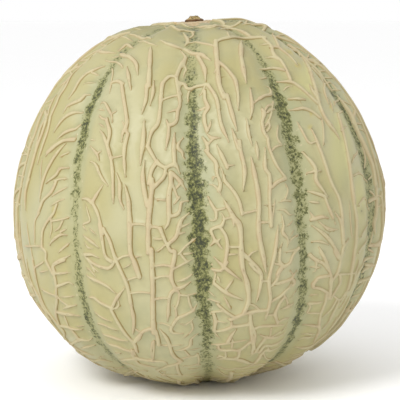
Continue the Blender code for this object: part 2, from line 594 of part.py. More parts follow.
def add_lanes(net, draw):
    """Long upright cords, end to end in lanes along each rib that the front's list leaves bare."""
    for rib in range(RIB_COUNT):
        for lane in range(LANE_COUNT):
            share = (lane + 0.5 + draw.uniform(-0.2, 0.2)) / LANE_COUNT
            lat = math.radians(LANE_HIGHEST - draw.uniform(0, 14))
            while lat > math.radians(LANE_LOWEST):
                length = draw.uniform(LANE_SHORTEST, LANE_LONGEST)
                drift = draw.uniform(-0.09, 0.09)
                size = draw.choice((THICK, PLAIN, PLAIN))
                corners = []
                for i in range(LANE_BENDS + 1):
                    here = lat - length / WIDEST_RADIUS * i / LANE_BENDS
                    across = share + drift * (i / LANE_BENDS - 0.5) + draw.uniform(-0.02, 0.02)
                    sutures = suture_longitudes(here)
                    start = sutures[rib]
                    end = sutures[rib + 1] if rib + 1 < RIB_COUNT else sutures[0] + 2 * math.pi
                    corners.append((float(start + (end - start) * across), here))
                middle = corners[LANE_BENDS // 2]
                if not read_by_eye(*middle) and net.near(Vector(direction(*middle)), ROOM) is None:
                    net.add(corners, size)
                lat -= (length + draw.uniform(-0.003, 0.004)) / WIDEST_RADIUS
                share = min(max(share + draw.uniform(-0.05, 0.05), 0.1), 0.9)


def add_stem_cords(net, draw):
    """Cords that spread from the stem's scar, but not on the front, whose list holds its own."""
    for i in range(STEM_CORDS):
        lon = 2 * math.pi * (i + draw.uniform(-0.3, 0.3)) / STEM_CORDS
        lat = math.pi / 2 - STEM_CORD_START * draw.uniform(1.0, 1.3) / WIDEST_RADIUS
        longest = STEM_CORD_LONGEST * draw.uniform(0.5, 1.0)
        corners, met = walk(net, draw, lon, lat, draw.uniform(-125, -55), longest, draw.uniform(-3, 3))
        if math.cos(lon) < 0.5 and len(corners) * WALK_STEP > SHORTEST:
            net.add(thinned(corners), PLAIN, (False, not met))


def add_branches(net, draw):
    """Short cords that leave both sides of each suture, hanging on the upper half."""
    for k in range(RIB_COUNT):
        for side in (-1, 1):
            lat = math.radians(72) - draw.uniform(0, 0.05)
            while lat > math.radians(-72):
                start = BAND_HALF * draw.uniform(1.05, 1.5) / WIDEST_RADIUS / math.cos(lat)
                lon = float(suture_longitudes(lat)[k]) + side * start
                hang = 55 * max(0.0, math.sin(lat)) + draw.uniform(-12, 18)
                heading = -hang if side > 0 else 180 + hang
                turn = -side * 2.5 * max(0.0, math.sin(lat) + 0.2)
                longest = BRANCH_LONGEST * draw.uniform(0.5, 1.0)
                corners, met = walk(net, draw, lon, lat, heading, longest, turn)
                if len(corners) * WALK_STEP > SHORTEST and net.has_room(corners):
                    net.add(thinned(corners), PLAIN, (False, not met))
                lat -= BRANCH_PITCH * draw.uniform(0.75, 1.3) / WIDEST_RADIUS


def add_rungs(net, draw):
    """Cross pieces from one cord to the next, closer together towards the bottom."""
    long_cords = [number for number, (curve, _, _) in enumerate(net.cords) if len(curve) > 16]
    for _ in range(RUNG_TRIES):
        number = draw.choice(long_cords)
        curve = net.cords[number][0]
        spot = curve[draw.randrange(2, len(curve) - 2)]
        lon, lat = (float(a) for a in angles(spot))
        side = draw.choice((0, 180))
        heading = side + draw.uniform(-28, 28)
        keep = draw.random() < (0.35 if lat > math.radians(8) else 1.0)
        corners, met = walk(net, draw, lon, lat, heading, RUNG_LONGEST, 0.0, 7.0, (number,))
        if keep and met and len(corners) * WALK_STEP > SHORTEST and net.has_room(corners, (number,)):
            net.add(thinned(corners), PLAIN, (False, False))


def grown_net():
    net = Net()
    draw = random.Random(SEED)
    add_front_cords(net)
    add_stem_cords(net, draw)
    add_lanes(net, draw)
    add_branches(net, draw)
    add_rungs(net, draw)
    return net


def cord_scale(index, count, tapers):
    """How much of its full width a cord has at one of its steps."""
    reach = min(TAPER / CORD_STEP, count / 2)
    scale = 1.0
    if tapers[0]:
        scale = min(scale, 0.3 + 0.7 * min(1.0, index / reach))
    if tapers[1]:
        scale = min(scale, 0.3 + 0.7 * min(1.0, (count - 1 - index) / reach))
    return scale


class Relief:
    """Height of the net above the rind at any direction."""

    def __init__(self, net):
        self.steps = []
        for curve, (half, height), tapers in net.cords:
            count = len(curve)
            for i, spot in enumerate(curve):
                along = (curve[min(i + 1, count - 1)] - curve[max(i - 1, 0)]).normalized()
                scale = cord_scale(i, count, tapers)
                self.steps.append((spot * WIDEST_RADIUS, along, half * scale, height * scale))
        self.tree = KDTree(len(self.steps))
        for i, step in enumerate(self.steps):
            self.tree.insert(step[0], i)
        self.tree.balance()

    def height(self, spot):
        here = spot * WIDEST_RADIUS
        best = 0.0
        for _, i, _ in self.tree.find_range(here, THICK[0] + CORD_STEP):
            place, along, half, height = self.steps[i]
            offset = here - place
            run = offset.dot(along)
            square = offset.length_squared
            if abs(run) < CORD_STEP:
                square -= run * run
            best = max(best, height * math.sqrt(max(0.0, 1.0 - square / (half * half))))
        return best


class Spots:
    """Chosen directions, which keep a clearance from each other, and the edges kept between them."""

    def __init__(self):
        self.chosen = []
        self.edges = []
        self.cells = {}

    def cell(self, spot):
        return tuple(math.floor(c * WIDEST_RADIUS / FILL_CLEARANCE) for c in spot)

    def clear(self, spot, clearance):
        home = self.cell(spot)
        for dx in (-1, 0, 1):
            for dy in (-1, 0, 1):
                for dz in (-1, 0, 1):
                    for other in self.cells.get((home[0] + dx, home[1] + dy, home[2] + dz), ()):
                        if (other - spot).length * WIDEST_RADIUS < clearance:
                            return False
        return True

    def add(self, spot, clearance=0.0):
        """The spot's number, or None where it has no room."""
        if clearance and not self.clear(spot, clearance):
            return None
        self.chosen.append(spot)
        self.cells.setdefault(self.cell(spot), []).append(spot)
        return len(self.chosen) - 1

    def add_line(self, line, clearance):
        """Spots along a line, joined by kept edges unless a gap is so wide that its edge would sink in."""
        last = None
        for spot in line:
            number = self.add(spot, clearance)
            if number is not None:
                if last is not None and (spot - self.chosen[last]).length * WIDEST_RADIUS < LONGEST_EDGE:
                    self.edges.append((last, number))
                last = number


def add_rims(spots):
    """The rings of the stem's seat and of the flat spot, and how far the flat spot reaches."""
    for radius, count in SEAT_RINGS:
        lat = math.pi / 2 - radius / WIDEST_RADIUS
        for i in range(count):
            spots.add(Vector(direction(2 * math.pi * i / count, lat)))
    bottom = Vector(direction(*flat_direction(0.0, 0.0)))
    spots.add(bottom)
    reach = 0.0
    for i in range(FLAT_SIDES):
        spot = Vector(direction(*flat_direction(FLAT_RADIUS, 2 * math.pi * i / FLAT_SIDES)))
        spots.add(spot)
        reach = max(reach, (spot - bottom).length)
    return bottom, reach


def suture_line(k, offset):
    """Spots along a suture, or beside it at an offset to its right."""
    steps = round(math.pi * WIDEST_RADIUS / SUTURE_PITCH)
    line = []
    for i in range(1, steps):
        lat = math.pi * (i / steps - 0.5)
        level = WIDEST_RADIUS * math.cos(lat)
        if level > 3 * abs(offset):
            line.append(Vector(direction(suture_longitudes(lat)[k] + offset / level, lat)))
    return line


def fruit_spots(net):
    """Directions of the fruit's vertices: rims first, then cords, their feet, sutures and fill."""
    spots = Spots()
    bottom, flat_reach = add_rims(spots)

    def usable(spot):
        off_flat = (spot - bottom).length > flat_reach + RIM_CLEARANCE / WIDEST_RADIUS
        off_seat = (spot - Vector((0, 0, 1))).length * WIDEST_RADIUS > SEAT_EDGE + RIM_CLEARANCE
        return off_flat and off_seat

    feet = []
    for curve, (half, _), tapers in net.cords:
        count = len(curve)
        parts = max(1, round((count - 1) * CORD_STEP / CORD_PITCH))
        places = [round(part * (count - 1) / parts) for part in range(parts + 1)]
        spots.add_line([curve[i] for i in places if usable(curve[i])], CREST_CLEARANCE)
        for i in places:
            along = curve[min(i + 1, count - 1)] - curve[max(i - 1, 0)]
            side = curve[i].cross(along).normalized()
            reach = FOOT_SHARE * half * cord_scale(i, count, tapers) / WIDEST_RADIUS
            feet += [(curve[i] + side * reach).normalized(), (curve[i] - side * reach).normalized()]
    relief = Relief(net)
    for spot in feet:
        if usable(spot) and relief.height(spot) < BARE:
            spots.add(spot, FOOT_CLEARANCE)
    for offset, clearance in SUTURE_ROWS:
        for k in range(RIB_COUNT):
            line = [spot for spot in suture_line(k, offset) if usable(spot)]
            spots.add_line(line, clearance)
    fill_count = round(4 * math.pi * (WIDEST_RADIUS / FILL_PITCH) ** 2 * 2)
    for i in range(fill_count):
        lat = math.asin(1 - 2 * (i + 0.5) / fill_count)
        spot = Vector(direction(i * math.pi * (3 - math.sqrt(5)), lat))
        if usable(spot):
            spots.add(spot, FILL_CLEARANCE)
    return spots, relief


def wrapped(spots):
    """Directions and triangles of a closed skin: a flat Delaunay net seen from the stem.

    The stem's own direction comes last, and the net's outermost ring closes on it.
    """
    flat = [Vector((s.x / (1 - s.z), s.y / (1 - s.z))) for s in spots.chosen]
    found, _, triangles, _, _, _ = delaunay_2d_cdt(flat, spots.edges, [], 0, 1e-9, False)
    found = [Vector((2 * p.x, 2 * p.y, p.length_squared - 1)) / (p.length_squared + 1) for p in found]
    triangles = [tuple(face) for face in triangles]
    edges = {(a, b) for face in triangles for a, b in zip(face, face[1:] + face[:1])}
    rim = [(a, b) for a, b in edges if (b, a) not in edges]
    return found + [Vector((0, 0, 1))], triangles + [(b, a, len(found)) for a, b in rim]


def finish_mesh(name, points, faces, material):
    mesh = bpy.data.meshes.new(name)
    mesh.from_pydata([tuple(p) for p in points], [], faces)
    shape = bmesh.new()
    shape.from_mesh(mesh)
    bmesh.ops.recalc_face_normals(shape, faces=shape.faces)
    if shape.calc_volume(signed=True) < 0:
        bmesh.ops.reverse_faces(shape, faces=shape.faces)
    shape.to_mesh(mesh)
    shape.free()
    mesh.materials.append(material)
    mesh.shade_smooth()
    made = bpy.data.objects.new(name, mesh)
    bpy.context.collection.objects.link(made)
    return made


def plain_material(name, colour, roughness):
    material = bpy.data.materials.new(name)
    material.use_nodes = True
    shader = material.node_tree.nodes["Principled BSDF"]
    shader.inputs["Base Color"].default_value = colour
    shader.inputs["Roughness"].default_value = roughness
    shader.inputs["Metallic"].default_value = 0.0
    return material


def make_fruit(net):
    spots, relief = fruit_spots(net)
    directions, faces = wrapped(spots)
    lon, lat = angles(np.array(directions))
    heights = np.array([relief.height(spot) for spot in directions])
    finish_mesh("melon", placed(lon, lat, heights), faces, plain_material("rind", RIND_COLOUR, 0.6))


def make_stub():
    """Low woody cone with lobes, standing in the seat with a gap under it."""
    points, faces = [], []
    for height, radius in STUB_LEVELS:
        for i in range(STUB_SIDES):
            turn = 2 * math.pi * i / STUB_SIDES
            reach = radius * (1 + STUB_LOBING * math.cos(STUB_LOBES * turn))
            points.append(Vector((reach * math.cos(turn), reach * math.sin(turn), height)))
    for level in range(len(STUB_LEVELS) - 1):
        for i in range(STUB_SIDES):
            low, high = level * STUB_SIDES, (level + 1) * STUB_SIDES
            after = (i + 1) % STUB_SIDES
            faces.append((low + i, low + after, high + after, high + i))
    points.append(Vector((0, 0, STUB_LEVELS[0][0])))
    points.append(Vector((0, 0, STUB_LEVELS[-1][0] - STUB_CUP)))
    top = (len(STUB_LEVELS) - 1) * STUB_SIDES
    for i in range(STUB_SIDES):
        after = (i + 1) % STUB_SIDES
        faces.append((after, i, len(points) - 2))
        faces.append((top + i, top + after, len(points) - 1))
    seat_rim = math.pi / 2 - STUB_LEVELS[0][1] / WIDEST_RADIUS
    turns = np.linspace(0, 2 * math.pi, STUB_SIDES, endpoint=False)
    rim = placed(turns, np.full(STUB_SIDES, seat_rim), np.zeros(STUB_SIDES))
    floor = Vector(placed(np.zeros(1), np.full(1, math.pi / 2), np.zeros(1))[0])
    tilt = Matrix.Rotation(LEAN, 3, "Y")
    axis = tilt @ Vector((0, 0, 1))
    rise = max(0.0, max((Vector(point) - floor).dot(axis) for point in rim))
    stand = floor + axis * (rise + STUB_GAP)
    points = [tilt @ point + stand for point in points]
    finish_mesh("stem_stub", points, faces, plain_material("stub", STUB_COLOUR, 0.85))


def main():
    for old in list(bpy.data.objects):
        bpy.data.objects.remove(old)
    make_fruit(grown_net())
    make_stub()


main()
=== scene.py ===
"""Looks of a netted cantaloupe: its ribbed rind with the raised cork net, and the dry stem stub."""

import math
import random

import bmesh
import bpy
import numpy as np
from mathutils import Matrix, Vector, noise
from mathutils.geometry import delaunay_2d_cdt
from mathutils.kdtree import KDTree


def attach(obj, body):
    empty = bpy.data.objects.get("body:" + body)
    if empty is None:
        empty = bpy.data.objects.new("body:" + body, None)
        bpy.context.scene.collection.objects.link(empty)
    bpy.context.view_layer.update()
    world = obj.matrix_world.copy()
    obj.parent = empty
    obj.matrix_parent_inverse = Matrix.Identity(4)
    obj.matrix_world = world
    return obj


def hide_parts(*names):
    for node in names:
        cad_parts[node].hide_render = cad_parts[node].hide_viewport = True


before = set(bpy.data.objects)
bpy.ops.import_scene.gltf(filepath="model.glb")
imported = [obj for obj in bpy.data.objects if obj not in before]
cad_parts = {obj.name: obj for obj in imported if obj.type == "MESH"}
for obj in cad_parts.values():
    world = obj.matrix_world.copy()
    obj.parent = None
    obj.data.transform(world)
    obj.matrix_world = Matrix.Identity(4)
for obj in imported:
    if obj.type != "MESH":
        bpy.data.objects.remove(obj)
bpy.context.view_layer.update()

# Body of the fruit, measured from the middle of its widest level
WIDEST_RADIUS = 0.0695
TOP_REACH = 0.0733
BOTTOM_REACH = 0.0655
TOP_FULLNESS = 1.95
BOTTOM_FULLNESS = 2.23
HOLLOW_DEPTH = 0.0044
HOLLOW_SPREAD = math.radians(12.5)
STEM_SHIFT, STEM_SHIFT_POWER = 0.0018, 6
LEAN = math.radians(-2.7)

# Flat spot that the fruit rests on
FLOOR_DEPTH = 0.0644
FLAT_RADIUS = 0.0115
FLAT_SIDES = 28
CENTRE = Vector((0.0001, -0.0002, FLOOR_DEPTH))

# Sutures between the ribs: longitude at the widest level in degrees to the right of the front,
# with how far it slopes and bows on the way to the stem
SUTURES = (
    (-77.0, 0.5, 0.0),
    (-39.0, 1.0, -8.0),
    (0.2, -0.9, 0.9),
    (31.7, -1.8, 8.9),
    (66.5, -0.3, 9.0),
    (99.5, -1.5, 2.0),
    (137.0, 1.0, -2.0),
    (175.5, 2.0, 1.0),
    (213.0, -1.0, 3.0),
    (251.5, 1.0, -2.0),
)
RIB_COUNT = len(SUTURES)
RIB_CROWN = 0.0010
GROOVE_DEPTH = 0.0014
GROOVE_REACH = 0.0038
BAND_HALF = 0.0018
POLE_FADE = 0.020

# Places where the fruit is fuller or flatter: longitude, latitude and spread in degrees, height
SWELLS = (
    (58.0, -38.0, 20.0, -0.0011),
    (-52.0, -50.0, 22.0, 0.0009),
    (-20.0, 72.0, 12.0, -0.0007),
    (-60.0, 15.0, 18.0, -0.0005),
    (150.0, -25.0, 28.0, 0.0008),
    (210.0, 30.0, 26.0, -0.0007),
    (100.0, 75.0, 8.5, 0.0013),
    (-95.0, 25.0, 18.0, -0.0009),
    (-90.0, -45.0, 14.0, 0.0008),
    (92.0, 3.0, 12.0, 0.0013),
    (90.0, -28.0, 8.0, -0.0006),
    (88.0, -50.0, 10.0, 0.0012),
    (0.0, 90.0, 6.5, 0.0016),
    (-105.0, 68.0, 10.0, 0.0009),
    (-90.0, -22.0, 15.0, 0.0012),
    (99.0, 50.0, 10.0, -0.0005),
)

# Seat of the stem stub
SEAT_DEPTH = 0.0011
SEAT_RADIUS = 0.0042
SEAT_EDGE = 0.0054

# Stem stub: heights and radii up its side, and how uneven its fibres leave it
STUB_GAP = 0.0003
STUB_LEVELS = (
    (0.0000, 0.0034),
    (0.0005, 0.0035),
    (0.0009, 0.0029),
    (0.0013, 0.0022),
    (0.0017, 0.0018),
    (0.0021, 0.0015),
)
STUB_STEPS, STUB_SIDES = 30, 72
STUB_LOBES, STUB_LOBING = 5, 0.06
STUB_ROUGHNESS, STUB_FIBRES, STUB_RISE = 0.10, 3.1, 2.0
STUB_BREAK, STUB_BREAKS, STUB_BREAK_POWER = 0.00025, 2.3, 3
STUB_BREAK_PLACE = Vector((5, 0, 0))
STUB_FOOT = 0.25
STUB_CUP = 0.0003

# Net: half widths and heights of its cords, and how a cord falls off to its sides
THICK = (0.00092, 0.00085)
PLAIN = (0.00074, 0.00072)
MIDDLE = (0.00066, 0.00062)
THIN = (0.00042, 0.00042)
FAINT = (0.00034, 0.00030)
FLATNESS, ROUNDING = 2.6, 0.6
CORD_STEP = 0.0005
TAPER_WIDTHS = 6.5
TIP_SHARE = 0.25
JOINING = 0.0012
CREST_SHARE = 0.2
# Way across a cord, away from the key light, to the side whose tan edge is darkened with painted shade
SHADE_SIDE_WAY = Vector((0.83, 0.1, -0.55)).normalized()
WIDTH_WOBBLE, WIDTH_WAVES = 0.30, 300.0
HEIGHT_WOBBLE, HEIGHT_WAVES = 0.30, 190.0

# View in which the front's cords are read: pixels of a 400 by 400 picture of the front
FRAME_PIXELS = 400
VIEW_DISTANCE = 0.562
VIEW_RISE = math.radians(7.4)
VIEW_CENTRE = (198.0, 206.4)
VIEW_FORWARD = np.array([0.0, math.cos(VIEW_RISE), -math.sin(VIEW_RISE)])
VIEW_UPWARD = np.array([0.0, math.sin(VIEW_RISE), math.cos(VIEW_RISE)])
PIXEL = 0.00038
SENSOR_WIDTH = 36.0
SIGHT_ROUNDS = 12
FRONT_RIBS = 4
FRONT_FACING = 0.3

# Cords of the front, read off as x, y pixels of that view
THICK_CORDS = (
    ((151, 47), (150, 66), (149, 86)),
    ((144.5, 120), (143.5, 140), (140.5, 165)),
    ((144.6, 161), (143, 175), (144.5, 190), (147.5, 205)),
    ((152, 180), (152, 190), (149, 220), (148.5, 252)),
    ((151.7, 250), (153, 283), (153, 300), (154, 332)),
    ((125, 185), (128.7, 200), (130, 224), (130.6, 251), (134.4, 261), (139.5, 276)),
    ((171, 174), (171, 184), (169, 195), (169, 220), (165, 229)),
    ((215.6, 41.7), (216.1, 51), (217.1, 61.1), (217.7, 68.8), (219.2, 85), (224, 97)),
    ((241, 41), (241, 55), (243, 68), (246, 83)),
    ((251, 157), (255, 177), (258.7, 200), (258.7, 232), (264, 261), (266, 273)),
    ((224, 200), (234, 218), (240, 228), (242, 264), (247, 283), (248.5, 300), (244, 312)),
    ((160.5, 40.7), (167.6, 44.3), (177.8, 47.9), (185.5, 49.9), (191, 51)),
    ((185.5, 50.5), (191.5, 54), (200.8, 55), (205.9, 58), (210.5, 60.6)),
    ((47.6, 110), (47, 121), (37, 151), (31, 174), (27, 190), (26, 210)),
    ((302, 55), (319, 106), (339, 139)),
    ((347, 153), (352, 191), (356, 225.5), (352, 264), (347, 289), (340, 302)),
)
PLAIN_CORDS = (
    ((127, 67), (129, 78), (131, 90)),
    ((122, 55), (135, 62), (138, 75)),
    ((122, 84), (127, 120), (123, 134), (122, 142)),
    ((128, 135), (124.5, 150), (125.5, 177)),
    ((147, 86), (146, 100), (142, 114)),
    ((154, 81), (153, 94), (150, 105.5)),
    ((162.5, 84), (159, 120), (152, 132), (148, 146)),
    ((162.5, 84), (169, 77), (174.6, 77)),
    ((166.5, 120), (169, 130), (166, 150)),
    ((148, 147), (157, 162), (165, 168)),
    ((157, 162), (152, 170), (149, 183)),
    ((116.6, 173), (120, 184), (120.4, 200), (124, 209)),
    ((100, 130), (104.5, 137), (111, 158), (113, 177), (113.7, 203)),
    ((107, 120), (110, 133), (108, 145)),
    ((104, 229), (110, 241), (116, 259), (125.5, 280), (129, 292), (134, 319), (133, 334)),
    ((100, 225), (103, 242), (106, 256), (113, 262)),
    ((112, 310), (124, 331), (134, 343), (137, 351)),
    ((132.5, 350), (136, 357), (162.5, 361), (167, 364)),
    ((156, 331), (158, 338), (159, 344)),
    ((160, 329), (167.6, 339.5), (173, 354), (180, 360)),
    ((180.9, 50.9), (185.5, 57.5), (184.5, 61), (183.5, 65)),
    ((182.4, 63.7), (178.9, 70.8), (176.8, 77.4), (177.5, 85), (180, 100)),
    ((174.6, 133), (174, 149), (175, 165)),
    ((166, 168), (172, 165), (176, 165), (180, 174)),
    ((166, 168), (164, 177), (155.5, 186)),
    ((173, 174), (180, 181), (185.5, 190)),
    ((160.6, 229), (166, 242), (171, 251), (175, 253), (171.4, 276.5), (176, 289)),
    ((189, 213), (181, 221), (176.5, 236), (169.5, 243)),
    ((216.1, 42.8), (220.2, 40.2), (228.4, 38.2), (240, 38.7), (252, 38), (264, 38)),
    ((227, 96), (232, 114), (237, 131)),
    ((220.2, 63.7), (226.3, 68.8), (231.4, 74.9), (235.5, 81.5), (238, 96), (238, 110)),
    ((250, 88), (252, 108), (250, 119)),
    ((197.8, 57), (201.8, 63.7), (204.9, 71.3), (205.4, 81.5)),
    ((208, 85.5), (216.6, 99.5), (221, 124), (229, 142)),
    ((232, 129), (235, 138), (238, 148)),
    ((239.5, 142), (241, 153), (244.6, 170), (243, 191)),
    ((246.6, 119), (249, 135), (252, 145)),
    ((256, 142), (257, 150), (258, 159)),
    ((265, 148), (265, 168), (269.5, 176), (269.5, 200), (271, 225.5)),
    ((217, 145), (222, 156), (227, 167)),
    ((278, 225.5), (275, 251), (269, 279), (270, 299.5), (265, 320)),
    ((244.6, 255), (260, 271), (260, 287), (256, 302)),
    ((214, 257), (225.5, 268), (241, 280)),
    ((215, 284), (227, 293), (243, 299.5)),
    ((231, 319), (248.5, 312), (266, 310)),
    ((250, 315), (251, 331), (254, 348)),
    ((276.5, 82), (292, 83), (306, 93), (319, 106)),
    ((338, 115), (343, 134), (347, 153)),
    ((311, 129), (329, 177), (339, 200), (342, 225), (343, 242)),
    ((302, 152), (315, 168), (316, 181), (328, 198)),
    ((312, 225.5), (329, 239.5), (340, 259)),
    ((319, 247), (326, 262.5), (331, 279), (328, 297)),
    ((53, 110), (48, 132), (38, 164)),
    ((65.5, 144), (51.5, 163), (44, 180), (40, 201)),
    ((83, 113), (74, 113), (63, 120), (54.6, 132)),
    ((74, 140), (61, 142.5), (46, 156)),
    ((69, 168), (60, 169), (57, 175), (46, 183)),
    ((183.5, 33.6), (186.5, 37.7), (188, 41.7), (185, 46.3)),
    ((130, 37), (140, 38), (151, 39)),
)
